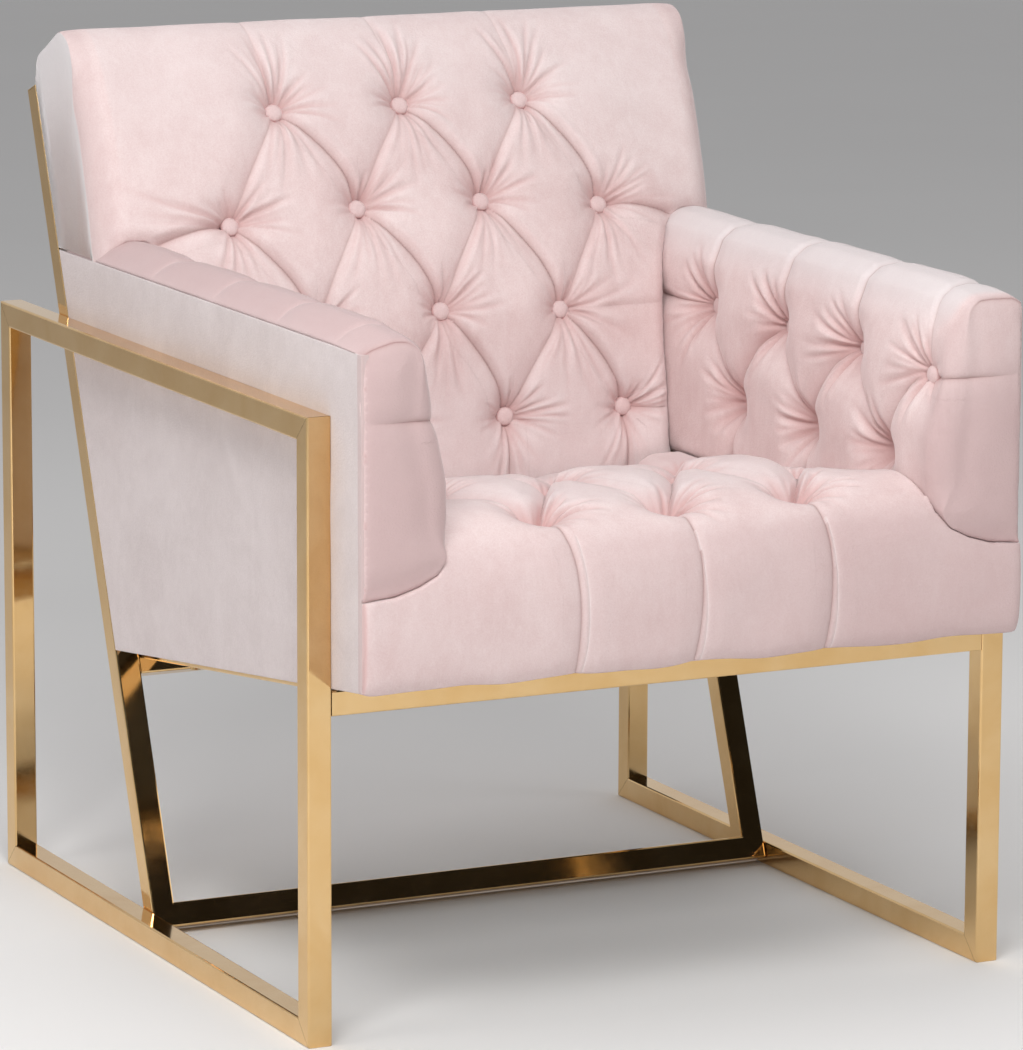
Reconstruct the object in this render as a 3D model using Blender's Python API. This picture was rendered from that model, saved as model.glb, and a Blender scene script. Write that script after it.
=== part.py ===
"""A button-tufted armchair body held in an open frame of polished square tube.

Metres, +Z up, the sitter faces -Y. Lengths along Y are measured back from the front faces of the
front legs; the parent empty then moves the chair so that its box is centred on the origin.
"""

from math import atan, cos, pi, sin, sqrt

import bmesh
import bpy
import numpy as np
from mathutils import Matrix, Vector

for old in list(bpy.data.objects):
    bpy.data.objects.remove(old)

# ---- driving dimensions ----
FRAME_WIDTH = 0.758
FRAME_DEPTH = 0.7926
FRAME_HEIGHT = 0.6088
TUBE = 0.025
TUBE_WALL = 0.0015
TUBE_EDGE = 0.0018
FRONT_RAIL_Z = 0.3335
GAP = 0.0003

POST_FOOT_Y = 0.438
POST_LEAN = 0.370
POST_TOP_Z = 0.8347
REAR_RAIL_Z = 0.2625
SEAT_RAIL_THICK = 0.012

FRONT_OVERHANG = 0.078
ARM_OVERHANG = 0.069
UNDERSIDE_Z = 0.3495
UNDERSIDE_SLOPE = -0.125
BOARD_FRONT_Y = -0.055
CLOTH = 0.0015
PLY = 0.015
PANEL = 0.008
COVER = 0.006
SHOULDER_Z = 0.445
SEAT_CROWN_Z = 0.505
SEAT_HALF_WIDTH = 0.264
PANEL_TOP_Z = 0.675
PANEL_SET_BACK = 0.001
BACK_WIDE_Z = 0.7005
BACK_TOP_Z = 0.9075

BUTTON_RADIUS = 0.0095
BUTTON_HALF_THICK = 0.0035
BACK_PITCH = 0.141
BACK_ROWS = ((0.8175, 3, 0.0, 0.0), (0.719, 4, 0.011, 0.013), (0.614, 3, 0.0075, 0.008), (0.498, 4, 0.0, 0.005))
BACK_BUTTON_SINK = 0.018
ARM_PITCH = 0.154
ARM_BUTTON_X = 0.289
ARM_BUTTON_Z = 0.612
FIRST_ARM_BUTTON_Y = -0.015
POCKET_DEPTH = 0.040
POCKET_CLEARANCE = 0.001
BACK_POCKET_MOUTH = 0.0512
ARM_POCKET_MOUTH = 0.0384

BOLT_SIDES = 12
BOLT_RADIUS = 0.003
HEAD_RADIUS = 0.0055
HEAD_THICK = 0.004
HOLE_RADIUS = 0.0036
ACCESS_RADIUS = 0.0065
HOLE_RUN_OUT = 0.002
HOLE_PAST_END = 0.001
SEAT_BOLT_X = 0.24
SEAT_BOLT_Y = 0.42
FRONT_BOLT_LENGTH = 0.0125
SIDE_BOLT_LENGTH = 0.024
BACK_BOLT_HEIGHTS = (0.46, 0.72)
BACK_BOLT_LENGTH = 0.040
BACK_BOLT_OFFSET = 0.004

# ---- lengths that follow from them ----
LEAN = atan(POST_LEAN)
UP_POST = Vector((0, sin(LEAN), cos(LEAN)))
BEHIND_POST = Vector((0, cos(LEAN), -sin(LEAN)))
RIGHT = Vector((1, 0, 0))
UP = Vector((0, 0, 1))
BACKWARD = Vector((0, 1, 0))
LEG_X = (FRAME_WIDTH - TUBE) / 2
BODY_X = FRAME_WIDTH / 2 - TUBE - GAP
POST_X = BODY_X - TUBE / 2
INSIDE_PANEL_X = BODY_X - PANEL - GAP
INSIDE_BOARD_X = INSIDE_PANEL_X - PLY - GAP
STRETCHER_Z = (sin(LEAN) + cos(LEAN)) * TUBE / 2 + GAP
MITRE_GAP = GAP / sqrt(2)
CENTRE_Y = (FRAME_DEPTH - FRONT_OVERHANG) / 2
ABOVE_BOARD = CLOTH + PLY + 3 * GAP
AHEAD_OF_BOARD = COVER + PLY / cos(LEAN) + 3 * GAP

# Side view of the back's padded front, from the seat up to the top edge, as (y, z).
BACK_FRONT = ((0.482, 0.445), (0.483, 0.500), (0.490, 0.612), (0.538, 0.717), (0.592, 0.818), (0.640, 0.880))
BACK_TOP = ((0.682, BACK_TOP_Z), (0.742, 0.875))
HOOK_Z = 0.845
HOOK_GAP = 0.0033
HEAD_OVERLAP = 0.010
HEAD_EDGE = 0.010

# The padding in front of the seat board, seen from the side from its foot up to the shoulder.
BAND_FOOT_Y = -FRONT_OVERHANG + 0.006
BAND_BULGE_Z = 0.41
BAND_SHOULDER_Y = -FRONT_OVERHANG + 0.002
BAND_LAP = 0.004
BAND_LAP_RISE = 0.02

# The seat's crown between the arms, seen from the side from the rear edge round to the front.
CROWN_SINK = 0.01
CROWN_FOOT_Y = -0.072
CROWN_FRONT = ((-0.020, SEAT_CROWN_Z), (-0.055, 0.488), (-0.070, 0.462))
CROWN_TOP_Y = 0.255
CROWN_REAR_Z = 0.460

# Front view of an arm, from its inner bottom corner over the crown to the outer edge, as (x, z).
ARM_CROWN = (
    (0.272, SHOULDER_Z + GAP), (0.267, 0.500), (0.266, 0.560), (0.269, 0.620),
    (0.277, 0.660), (0.289, 0.686), (0.307, 0.698), (0.325, 0.699), (0.342, 0.690),
)
NOSE_PROUD = 0.001

chair = bpy.data.objects.new("chair_centre", None)
chair.location = (0, -CENTRE_Y, 0)
bpy.context.scene.collection.objects.link(chair)


def underside(y, above=0.0):
    """Height of the sloping underside at y, or of a layer that lies above it."""
    return UNDERSIDE_Z + UNDERSIDE_SLOPE * y + above


def rest_plane(z, ahead=0.0):
    """Y of the plane of the posts' front faces at height z, or of a layer ahead of it."""
    return POST_FOOT_Y + POST_LEAN * z - ahead


def rest_corner(ahead, above):
    """The (y, z) point where a layer on the underside meets a layer ahead of the posts."""
    z = (underside(POST_FOOT_Y - ahead) + above) / (1 - UNDERSIDE_SLOPE * POST_LEAN)
    return rest_plane(z, ahead), z


# ---- materials ----
def finish(name, colour, roughness, metallic=0.0):
    material = bpy.data.materials.new(name)
    material.use_nodes = True
    shader = material.node_tree.nodes["Principled BSDF"]
    shader.inputs["Base Color"].default_value = (*colour, 1)
    shader.inputs["Roughness"].default_value = roughness
    shader.inputs["Metallic"].default_value = metallic
    return material


GOLD = finish("polished_gold", (0.78, 0.56, 0.28), 0.18, 1.0)
VELVET = finish("blush_velvet", (0.79, 0.60, 0.58), 0.85)
PLYWOOD = finish("plywood", (0.62, 0.45, 0.27), 0.7)
STEEL = finish("zinc_steel", (0.55, 0.56, 0.58), 0.35, 1.0)
BLACK_CLOTH = finish("dust_cloth", (0.03, 0.03, 0.03), 0.95)


def add_object(name, bm, material):
    """Turns a bmesh into a named object under the chair's empty."""
    bmesh.ops.recalc_face_normals(bm, faces=bm.faces)
    mesh = bpy.data.meshes.new(name)
    bm.to_mesh(mesh)
    bm.free()
    mesh.materials.append(material)
    piece = bpy.data.objects.new(name, mesh)
    piece.parent = chair
    bpy.context.scene.collection.objects.link(piece)
    return piece


def shade_round(piece):
    piece.data.shade_smooth()
    piece.data.set_sharp_from_angle(angle=pi / 5)


# ---- square tube ----
def square_loop(width, height, corner):
    """Points of a rectangle with rounded corners, three to a corner, anticlockwise."""
    loop = []
    for quarter, (sx, sy) in enumerate(((1, 1), (-1, 1), (-1, -1), (1, -1))):
        for step in range(3):
            angle = (quarter + step / 2) * pi / 2
            x = sx * (width / 2 - corner) + corner * cos(angle)
            y = sy * (height / 2 - corner) + corner * sin(angle)
            loop.append((x, y))
    return loop


def tube(name, start, end, across, start_cut=None, end_cut=None, height=TUBE):
    """A hollow tube from start to end; a cut is the normal of the plane that trims that end."""
    axis = (end - start).normalized()
    side = axis.cross(across)
    bm = bmesh.new()
    rings = []
    for centre, cut in ((start, start_cut or axis), (end, end_cut or axis)):
        for shrink, corner in ((0, TUBE_EDGE), (2 * TUBE_WALL, TUBE_EDGE / 3)):
            ring = []
            for u, v in square_loop(TUBE - shrink, height - shrink, corner):
                offset = across * u + side * v
                ring.append(bm.verts.new(centre + offset - axis * (offset.dot(cut) / axis.dot(cut))))
            rings.append(ring)
    start_out, start_in, end_out, end_in = rings
    for first, second in ((start_out, end_out), (end_out, end_in), (end_in, start_in), (start_in, start_out)):
        for i in range(len(first)):
            j = (i + 1) % len(first)
            bm.faces.new((first[i], first[j], second[j], second[i]))
    piece = add_object(name, bm, GOLD)
    shade_round(piece)
    return piece


def side_frame(side, x):
    """Two legs, an arm rail and a floor rail, mitred into a closed rectangle."""
    low, high = TUBE / 2, FRAME_HEIGHT - TUBE / 2
    front, rear = TUBE / 2, FRAME_DEPTH - TUBE / 2
    corners = [Vector((x, y, z)) for y, z in ((front, low), (front, high), (rear, high), (rear, low))]
    names = ("front_leg", "arm_rail", "rear_leg", "floor_rail")
    for i, name in enumerate(names):
        start, end = corners[i], corners[(i + 1) % 4]
        before, after = corners[i - 1], corners[(i + 2) % 4]
        along = (end - start).normalized()
        start_cut = along + (start - before).normalized()
        end_cut = along + (after - end).normalized()
        shift = along * MITRE_GAP
        tube(f"{side}_{name}", start + shift, end - shift, RIGHT, start_cut, end_cut)


def post_point(x, z):
    """The point of the leaning loop's middle plane at height z."""
    return Vector((x, rest_plane(z) + TUBE / 2 / cos(LEAN), z))


def leaning_loop():
    """Two leaning posts, mitred to the stretcher at the floor, with the rear seat rail between them."""
    low_left, low_right = post_point(-POST_X, STRETCHER_Z), post_point(POST_X, STRETCHER_Z)
    posts = {}
    for side, x, foot in (("left", -POST_X, low_left), ("right", POST_X, low_right)):
        inward = RIGHT if x < 0 else -RIGHT
        top = post_point(x, POST_TOP_Z)
        posts[side] = tube(
            f"{side}_back_post", foot + UP_POST * MITRE_GAP, top, RIGHT, start_cut=UP_POST - inward
        )
        tube_cap(f"{side}_post_cap", top + UP_POST * GAP)
    tube(
        "back_stretcher", low_left + RIGHT * MITRE_GAP, low_right - RIGHT * MITRE_GAP, UP_POST,
        start_cut=UP_POST - RIGHT, end_cut=UP_POST + RIGHT,
    )
    reach = POST_X - TUBE / 2 - GAP
    tube("rear_seat_rail", post_point(-reach, REAR_RAIL_Z), post_point(reach, REAR_RAIL_Z), UP_POST)
    return posts


def tube_cap(name, base):
    """A welded plate that closes the top of a post."""
    bm = bmesh.new()
    rings = []
    for rise, inset in ((0, 0), (TUBE_WALL * 2 / 3, 0), (TUBE_WALL, TUBE_WALL / 3)):
        loop = square_loop(TUBE - 2 * inset, TUBE - 2 * inset, TUBE_EDGE)
        rings.append([bm.verts.new(base + RIGHT * u + BEHIND_POST * v + UP_POST * rise) for u, v in loop])
    for low, high in zip(rings, rings[1:]):
        for i in range(len(low)):
            j = (i + 1) % len(low)
            bm.faces.new((low[i], low[j], high[j], high[i]))
    bm.faces.new(rings[0])
    bm.faces.new(rings[-1])
    return add_object(name, bm, GOLD)


def seat_rail(side, x):
    """A low tube under the seat board, from the front rail back to the rear seat rail."""
    below = -SEAT_RAIL_THICK / 2 - GAP
    front_y = TUBE + GAP
    start = Vector((x, front_y, underside(front_y, below)))
    rear_y, rear_z = rest_corner(GAP / cos(LEAN), below)
    return tube(
        f"{side}_seat_rail", start, Vector((x, rear_y, rear_z)), RIGHT,
        start_cut=BACKWARD, end_cut=BEHIND_POST, height=SEAT_RAIL_THICK,
    )


# ---- padding and boards ----
def prism(name, outline, low, high, material, along_y=False, soft=0.0):
    """A side-view outline of (y, z) points pushed along X, or a front-view one of (x, z) along Y."""
    bm = bmesh.new()
    rings = []
    for depth in (low, high):
        points = [(a, depth, z) if along_y else (depth, a, z) for a, z in outline]
        rings.append([bm.verts.new(point) for point in points])
    bm.faces.new(rings[0])
    bm.faces.new(rings[1])
    for i in range(len(outline)):
        j = (i + 1) % len(outline)
        bm.faces.new((rings[0][i], rings[0][j], rings[1][j], rings[1][i]))
    if soft:
        soften(bm, soft)
    return add_object(name, bm, material)


def soften(bm, width):
    """Rounds the outward corners and leaves the inward ones sharp."""
    bmesh.ops.recalc_face_normals(bm, faces=bm.faces)
    sharp = [edge for edge in bm.edges if edge.calc_face_angle_signed(0) > pi / 4]
    bmesh.ops.bevel(bm, geom=sharp, offset=width, segments=2, profile=0.5, affect="EDGES")


def as_cutter(piece):
    piece.hide_render = True
    piece.display_type = "WIRE"


def boolean(piece, other, operation):
    as_cutter(other)
    modifier = piece.modifiers.new(other.name, "BOOLEAN")
    modifier.operation = operation
    modifier.solver = "EXACT"
    modifier.object = other


def seat_cushion():
    """Foam on the seat board, a crown between the arms and a band in front of the board."""
    rear = BACK_FRONT[0][0] - GAP
    lip_rear = BOARD_FRONT_Y - GAP
    base = prism(
        "seat_cushion",
        (
            (lip_rear - BAND_LAP, underside(0, ABOVE_BOARD + BAND_LAP_RISE)), (0, underside(0, ABOVE_BOARD)),
            (rear, underside(rear, ABOVE_BOARD)), (rear, SHOULDER_Z), (lip_rear - BAND_LAP, SHOULDER_Z),
        ),
        -INSIDE_BOARD_X, INSIDE_BOARD_X, VELVET,
    )
    front_band = prism(
        "front_band_shape",
        (
            (BAND_FOOT_Y, underside(-FRONT_OVERHANG)), (lip_rear, underside(lip_rear)),
            (lip_rear, SHOULDER_Z), (BAND_SHOULDER_Y, SHOULDER_Z), (-FRONT_OVERHANG, BAND_BULGE_Z),
        ),
        -INSIDE_PANEL_X, INSIDE_PANEL_X, VELVET,
    )
    crown = prism(
        "seat_crown_shape",
        (
            (CROWN_FOOT_Y, SHOULDER_Z - CROWN_SINK), (rear, SHOULDER_Z - CROWN_SINK),
            (rear, CROWN_REAR_Z), (CROWN_TOP_Y, SEAT_CROWN_Z), *CROWN_FRONT,
        ),
        -SEAT_HALF_WIDTH, SEAT_HALF_WIDTH, VELVET,
    )
    boolean(base, front_band, "UNION")
    boolean(base, crown, "UNION")
    return base


def back_cushion():
    """The wedge between the arms and the full-width head above them, with a pocket at each button."""
    foot_y, foot_z = rest_corner(AHEAD_OF_BOARD, ABOVE_BOARD)
    overlap_z = BACK_WIDE_Z + HEAD_OVERLAP
    front = [point for point in BACK_FRONT if point[1] > BACK_WIDE_Z]
    wide_y = back_front(BACK_WIDE_Z)
    low = prism(
        "back_cushion",
        (
            (BACK_FRONT[0][0], underside(BACK_FRONT[0][0], ABOVE_BOARD)), (foot_y, foot_z),
            (rest_plane(overlap_z, AHEAD_OF_BOARD), overlap_z), (back_front(overlap_z), overlap_z),
            *reversed([point for point in BACK_FRONT if point[1] < overlap_z]),
        ),
        -SEAT_HALF_WIDTH, SEAT_HALF_WIDTH, VELVET,
    )
    head = prism(
        "back_head_shape",
        (
            (wide_y, BACK_WIDE_Z), *front, *BACK_TOP,
            (rest_plane(HOOK_Z, HOOK_GAP), HOOK_Z + GAP), (rest_plane(HOOK_Z, AHEAD_OF_BOARD), HOOK_Z + GAP),
            (rest_plane(BACK_WIDE_Z, AHEAD_OF_BOARD), BACK_WIDE_Z),
        ),
        -BODY_X, BODY_X, VELVET, soft=HEAD_EDGE,
    )
    boolean(low, head, "UNION")
    spots = [(point, slope_normal(point.z)) for point in back_button_points()]
    pockets = pocket_cutters("back_pockets", spots, BACK_POCKET_MOUTH)
    boolean(low, pockets, "DIFFERENCE")
    return low


def arm_pad(side, sign):
    """The padding inside and over an arm board, cut square in front and to the posts' lean behind."""
    panel_top = PANEL_TOP_Z + 2 * GAP
    outline = [(sign * x, z) for x, z in ARM_CROWN]
    rest = [(BODY_X, panel_top), (INSIDE_BOARD_X, panel_top), (INSIDE_BOARD_X, SHOULDER_Z + GAP)]
    outline += [(sign * x, z) for x, z in rest]
    pad = prism(f"{side}_arm_pad", outline, -ARM_OVERHANG, FRAME_DEPTH, VELVET, along_y=True)
    nose_outline = [(sign * x, z) for x, z in ARM_CROWN[:-1]]
    nose_outline += [(sign * INSIDE_PANEL_X, panel_top), (sign * INSIDE_PANEL_X, SHOULDER_Z + GAP)]
    nose = prism(
        f"{side}_arm_nose_shape", nose_outline, -ARM_OVERHANG - NOSE_PROUD, BOARD_FRONT_Y - GAP,
        VELVET, along_y=True,
    )
    boolean(pad, nose, "UNION")
    behind = prism(
        f"{side}_arm_rear_trim",
        (
            (rest_plane(0, AHEAD_OF_BOARD), 0), (1, 0), (1, 1), (rest_plane(1, AHEAD_OF_BOARD), 1),
        ),
        -FRAME_WIDTH, FRAME_WIDTH, VELVET,
    )
    boolean(pad, behind, "DIFFERENCE")
    facing = -sign * RIGHT
    spots = [(point, facing) for point in arm_button_points(sign)]
    boolean(pad, pocket_cutters(f"{side}_arm_pockets", spots, ARM_POCKET_MOUTH), "DIFFERENCE")
    return pad


def layer_on_posts(name, ahead, thick, top_z, half_width, material):
    """A sheet that stands on the seat board and lies parallel to the posts."""
    outline = (
        rest_corner(ahead, ABOVE_BOARD), rest_corner(ahead + thick, ABOVE_BOARD),
        (rest_plane(top_z, ahead + thick), top_z), (rest_plane(top_z, ahead), top_z),
    )
    return prism(name, outline, -half_width, half_width, material)


def layer_under_seat(name, above, thick, half_width, material):
    """A sheet that lies along the sloping underside, from the front lip back to the posts."""
    outline = (
        (BOARD_FRONT_Y, underside(BOARD_FRONT_Y, above)), rest_corner(GAP, above),
        rest_corner(GAP, above + thick), (BOARD_FRONT_Y, underside(BOARD_FRONT_Y, above + thick)),
    )
    return prism(name, outline, -half_width, half_width, material)


def side_panel(side, sign):
    front = -ARM_OVERHANG + PANEL_SET_BACK
    outline = (
        (front, underside(front)), rest_corner(GAP, 0),
        (rest_plane(PANEL_TOP_Z, GAP), PANEL_TOP_Z), (front, PANEL_TOP_Z),
    )
    edges = sorted((sign * (BODY_X - PANEL), sign * BODY_X))
    return prism(f"{side}_side_panel", outline, *edges, VELVET)


def arm_board(side, sign):
    front = BOARD_FRONT_Y
    outline = (
        (front, underside(front, ABOVE_BOARD)), rest_corner(AHEAD_OF_BOARD, ABOVE_BOARD),
        (rest_plane(PANEL_TOP_Z, AHEAD_OF_BOARD), PANEL_TOP_Z), (front, PANEL_TOP_Z),
    )
    edges = sorted((sign * (INSIDE_PANEL_X - PLY), sign * INSIDE_PANEL_X))
    return prism(f"{side}_arm_board", outline, *edges, PLYWOOD)


# ---- tufting buttons ----
def back_front(z):
    """Y of the back's padded front at height z."""
    return float(np.interp(z, [point[1] for point in BACK_FRONT], [point[0] for point in BACK_FRONT]))


def slope_normal(z):
    """The direction that the back's padded front faces at height z."""
    step = 0.04
    run = back_front(z + step) - back_front(z - step)
    return Vector((0, -2 * step, run)).normalized()


def back_button_points():
    """Fourteen buttons in rows of three and four, the outer ones lower and sunk a little further."""
    points = []
    for height, count, drop, set_back in BACK_ROWS:
        for i in range(count):
            x = (i - (count - 1) / 2) * BACK_PITCH
            outer = abs(x) > BACK_PITCH * 0.9
            z = height - (drop if outer else 0)
            sink = BACK_BUTTON_SINK + (set_back if outer else 0)
            points.append(Vector((x, back_front(z) + sink, z)))
    return points


def arm_button_points(sign):
    x = sign * ARM_BUTTON_X
    return [Vector((x, FIRST_ARM_BUTTON_Y + i * ARM_PITCH, ARM_BUTTON_Z)) for i in range(4)]


def pocket_cutters(name, spots, mouth):
    """One mesh with a cone for each button, narrow behind the button and wide at the surface."""
    bm = bmesh.new()
    for point, normal in spots:
        turn = UP.rotation_difference(normal).to_matrix().to_4x4()
        middle = point + normal * (POCKET_DEPTH / 2 - BUTTON_HALF_THICK - GAP)
        bmesh.ops.create_cone(
            bm, cap_ends=True, segments=14, radius1=BUTTON_RADIUS + POCKET_CLEARANCE, radius2=mouth,
            depth=POCKET_DEPTH, matrix=Matrix.Translation(middle) @ turn,
        )
    return add_object(name, bm, VELVET)


def button(name, point, normal):
    """A covered button, a flattened dome."""
    bm = bmesh.new()
    bmesh.ops.create_uvsphere(bm, u_segments=12, v_segments=6, radius=BUTTON_RADIUS)
    flat = Matrix.Scale(BUTTON_HALF_THICK / BUTTON_RADIUS, 4, UP)
    turn = UP.rotation_difference(normal).to_matrix().to_4x4()
    bmesh.ops.transform(bm, matrix=Matrix.Translation(point) @ turn @ flat, verts=bm.verts)
    piece = add_object(name, bm, VELVET)
    shade_round(piece)
    return piece


# ---- bolts ----
def drill(piece, name, start, direction, length, radius=HOLE_RADIUS):
    bm = bmesh.new()
    turn = UP.rotation_difference(direction).to_matrix().to_4x4()
    place = Matrix.Translation(start + direction * (length / 2)) @ turn
    bmesh.ops.create_cone(
        bm, cap_ends=True, segments=16, radius1=radius, radius2=radius, depth=length, matrix=place
    )
    boolean(piece, add_object(name, bm, STEEL), "DIFFERENCE")


def bolt(name, seat, direction, length):
    """A bolt whose head bears at seat and whose shank runs along direction."""
    bm = bmesh.new()
    head_angle = Matrix.Rotation(pi / 6, 4, UP)
    turn = UP.rotation_difference(direction).to_matrix().to_4x4()
    rings = []
    for height, radius in (
        (-HEAD_THICK, HEAD_RADIUS), (0, HEAD_RADIUS), (0, BOLT_RADIUS), (length, BOLT_RADIUS)
    ):
        ring = []
        for i in range(BOLT_SIDES):
            angle = 2 * pi * i / BOLT_SIDES
            local = head_angle @ Vector((radius * cos(angle), radius * sin(angle), height))
            ring.append(bm.verts.new(seat + turn @ local))
        rings.append(ring)
    for low, high in zip(rings, rings[1:]):
        for i in range(len(low)):
            j = (i + 1) % len(low)
            bm.faces.new((low[i], low[j], high[j], high[i]))
    bm.faces.new(rings[0])
    bm.faces.new(rings[-1])
    return add_object(name, bm, STEEL)


def bolt_through(name, tube_piece, layers, seat, direction, length):
    """A bolt through a tube and into the layers behind it, each drilled with clearance."""
    for piece in (tube_piece, *layers):
        start = seat - direction * HOLE_RUN_OUT
        drill(piece, f"{name}_hole_{piece.name}", start, direction, HOLE_RUN_OUT + length + HOLE_PAST_END)
    return bolt(name, seat - direction * GAP, direction, length)


def bolt_inside(name, tube_piece, layers, entry, direction, length):
    """A bolt whose head bears on a tube's far wall, put in through a wide hole in its near wall."""
    start = entry - direction * HOLE_RUN_OUT
    drilled = HOLE_RUN_OUT + TUBE_WALL + HOLE_PAST_END
    drill(tube_piece, f"{name}_access", start, direction, drilled, ACCESS_RADIUS)
    seat = entry + direction * (TUBE - TUBE_WALL)
    return bolt_through(name, tube_piece, layers, seat, direction, length)


def build_chair():
    for side, sign in (("left", -1), ("right", 1)):
        side_frame(side, sign * LEG_X)
    front_end = FRAME_WIDTH / 2 - TUBE - GAP
    front_rail = tube(
        "front_rail", Vector((-front_end, TUBE / 2, FRONT_RAIL_Z)),
        Vector((front_end, TUBE / 2, FRONT_RAIL_Z)), BACKWARD,
    )
    posts = leaning_loop()
    rail_x = POST_X - TUBE - GAP
    rails = [seat_rail("left", -rail_x), seat_rail("right", rail_x)]

    dust_cover = layer_under_seat("dust_cover", 0.0, CLOTH, INSIDE_PANEL_X, BLACK_CLOTH)
    seat_board = layer_under_seat("seat_board", CLOTH + GAP, PLY, INSIDE_PANEL_X, PLYWOOD)
    back_cover = layer_on_posts("back_cover", GAP, COVER, HOOK_Z, INSIDE_PANEL_X, VELVET)
    back_board = layer_on_posts(
        "back_board", COVER + 2 * GAP, PLY / cos(LEAN), HOOK_Z, INSIDE_PANEL_X, PLYWOOD
    )
    seat_cushion()
    back_cushion()
    for side, sign in (("left", -1), ("right", 1)):
        side_panel(side, sign)
        arm_board(side, sign)
        arm_pad(side, sign)
        for i, point in enumerate(arm_button_points(sign), 1):
            button(f"{side}_arm_button_{i}", point, -sign * RIGHT)
    for i, point in enumerate(back_button_points(), 1):
        button(f"back_button_{i}", point, slope_normal(point.z))

    under_front = FRONT_RAIL_Z - TUBE / 2
    for i, x in enumerate((-SEAT_BOLT_X, SEAT_BOLT_X), 1):
        entry = Vector((x, TUBE / 2, under_front))
        bolt_inside(f"seat_bolt_{i}", front_rail, (dust_cover, seat_board), entry, UP, FRONT_BOLT_LENGTH)
    rail_normal = Vector((0, -UNDERSIDE_SLOPE, 1)).normalized()
    for i, (x, rail) in enumerate(zip((-rail_x, rail_x), rails), 3):
        seat = Vector((x, SEAT_BOLT_Y, underside(SEAT_BOLT_Y, -SEAT_RAIL_THICK - GAP)))
        bolt_through(f"seat_bolt_{i}", rail, (dust_cover, seat_board), seat, rail_normal, SIDE_BOLT_LENGTH)
    ahead_of_post = -BEHIND_POST
    layers = (back_cover, back_board)
    bolt_x = POST_X - BACK_BOLT_OFFSET
    number = 1
    for side, x in (("left", -bolt_x), ("right", bolt_x)):
        for z in BACK_BOLT_HEIGHTS:
            seat = post_point(x, z) + BEHIND_POST * (TUBE / 2)
            bolt_through(f"back_bolt_{number}", posts[side], layers, seat, ahead_of_post, BACK_BOLT_LENGTH)
            number += 1


build_chair()
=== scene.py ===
from math import cos, pi, radians, sin, sqrt

import bmesh
import bpy
import numpy as np
from mathutils import Matrix, Vector
from mathutils.geometry import delaunay_2d_cdt


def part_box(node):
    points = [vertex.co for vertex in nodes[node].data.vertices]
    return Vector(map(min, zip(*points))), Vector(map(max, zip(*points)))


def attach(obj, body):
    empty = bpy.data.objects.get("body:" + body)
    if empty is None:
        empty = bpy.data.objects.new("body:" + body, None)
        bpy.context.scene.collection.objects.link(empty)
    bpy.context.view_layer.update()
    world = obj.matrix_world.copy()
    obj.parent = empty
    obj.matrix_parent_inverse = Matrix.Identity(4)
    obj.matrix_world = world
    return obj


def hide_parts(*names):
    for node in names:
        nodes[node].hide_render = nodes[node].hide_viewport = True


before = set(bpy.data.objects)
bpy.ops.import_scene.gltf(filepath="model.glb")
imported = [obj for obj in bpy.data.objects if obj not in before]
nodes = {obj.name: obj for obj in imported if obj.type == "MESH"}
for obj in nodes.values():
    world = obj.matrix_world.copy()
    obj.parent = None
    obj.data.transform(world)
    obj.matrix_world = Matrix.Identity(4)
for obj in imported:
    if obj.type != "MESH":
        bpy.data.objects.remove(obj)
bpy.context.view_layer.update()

# Lengths are metres. Positions below are measured like the CAD's: x from the middle of the chair,
# y back from the front faces of the front legs, z up from the floor.
FRONT_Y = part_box("left_front_leg")[0].y
BODY_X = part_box("right_side_panel")[1].x
PANEL_THICK = BODY_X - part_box("right_side_panel")[0].x
PANEL_TOP_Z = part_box("right_side_panel")[1].z
ARM_FRONT_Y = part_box("right_side_panel")[0].y - FRONT_Y
BOARD_FRONT_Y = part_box("right_arm_board")[0].y - FRONT_Y
BOARD_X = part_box("right_arm_board")[0].x
BACK_TOP_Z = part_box("back_cushion")[1].z
GAP = 0.0006
STEP = 0.0018
NO_PLEAT = 0.02
FINE = 0.0005
BUTTON_PROUD = 0.0042
SEAM_STEP = 0.0012


def facing_plane(node, direction):
    """(y at z=0, dy/dz) of the node's largest face that looks along direction."""
    mesh = nodes[node].data
    faces = [p for p in mesh.polygons if p.normal.dot(direction) > 0.8]
    best = max(faces, key=lambda p: p.area)
    slope = -best.normal.z / best.normal.y
    return best.center.y - FRONT_Y - slope * best.center.z, slope


BOARD_Y0, LEAN = facing_plane("back_board", Vector((0, -1, 0)))
POST_Y0, _ = facing_plane("left_back_post", Vector((0, -1, 0)))
BOARD_X_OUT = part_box("back_board")[1].x


def at_board(z, plane_y=None):
    """Y just ahead of the back board at height z, or of another leaning plane from its y at the floor."""
    return (BOARD_Y0 if plane_y is None else plane_y) + LEAN * z - GAP


def between(start, end, t):
    return np.array(start) * (1 - t) + np.array(end) * t


def round_in(edge, radius):
    """How far a surface has turned inwards at a distance edge from where it meets another."""
    e = np.clip(edge / np.maximum(radius, 1e-6), 0, 1)
    return radius * (1 - np.sqrt(np.clip(1 - (1 - e) ** 2, 0, 1)))


def smooth(x, low, high):
    t = np.clip((x - low) / (high - low), 0, 1)
    return t * t * (3 - 2 * t)


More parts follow.
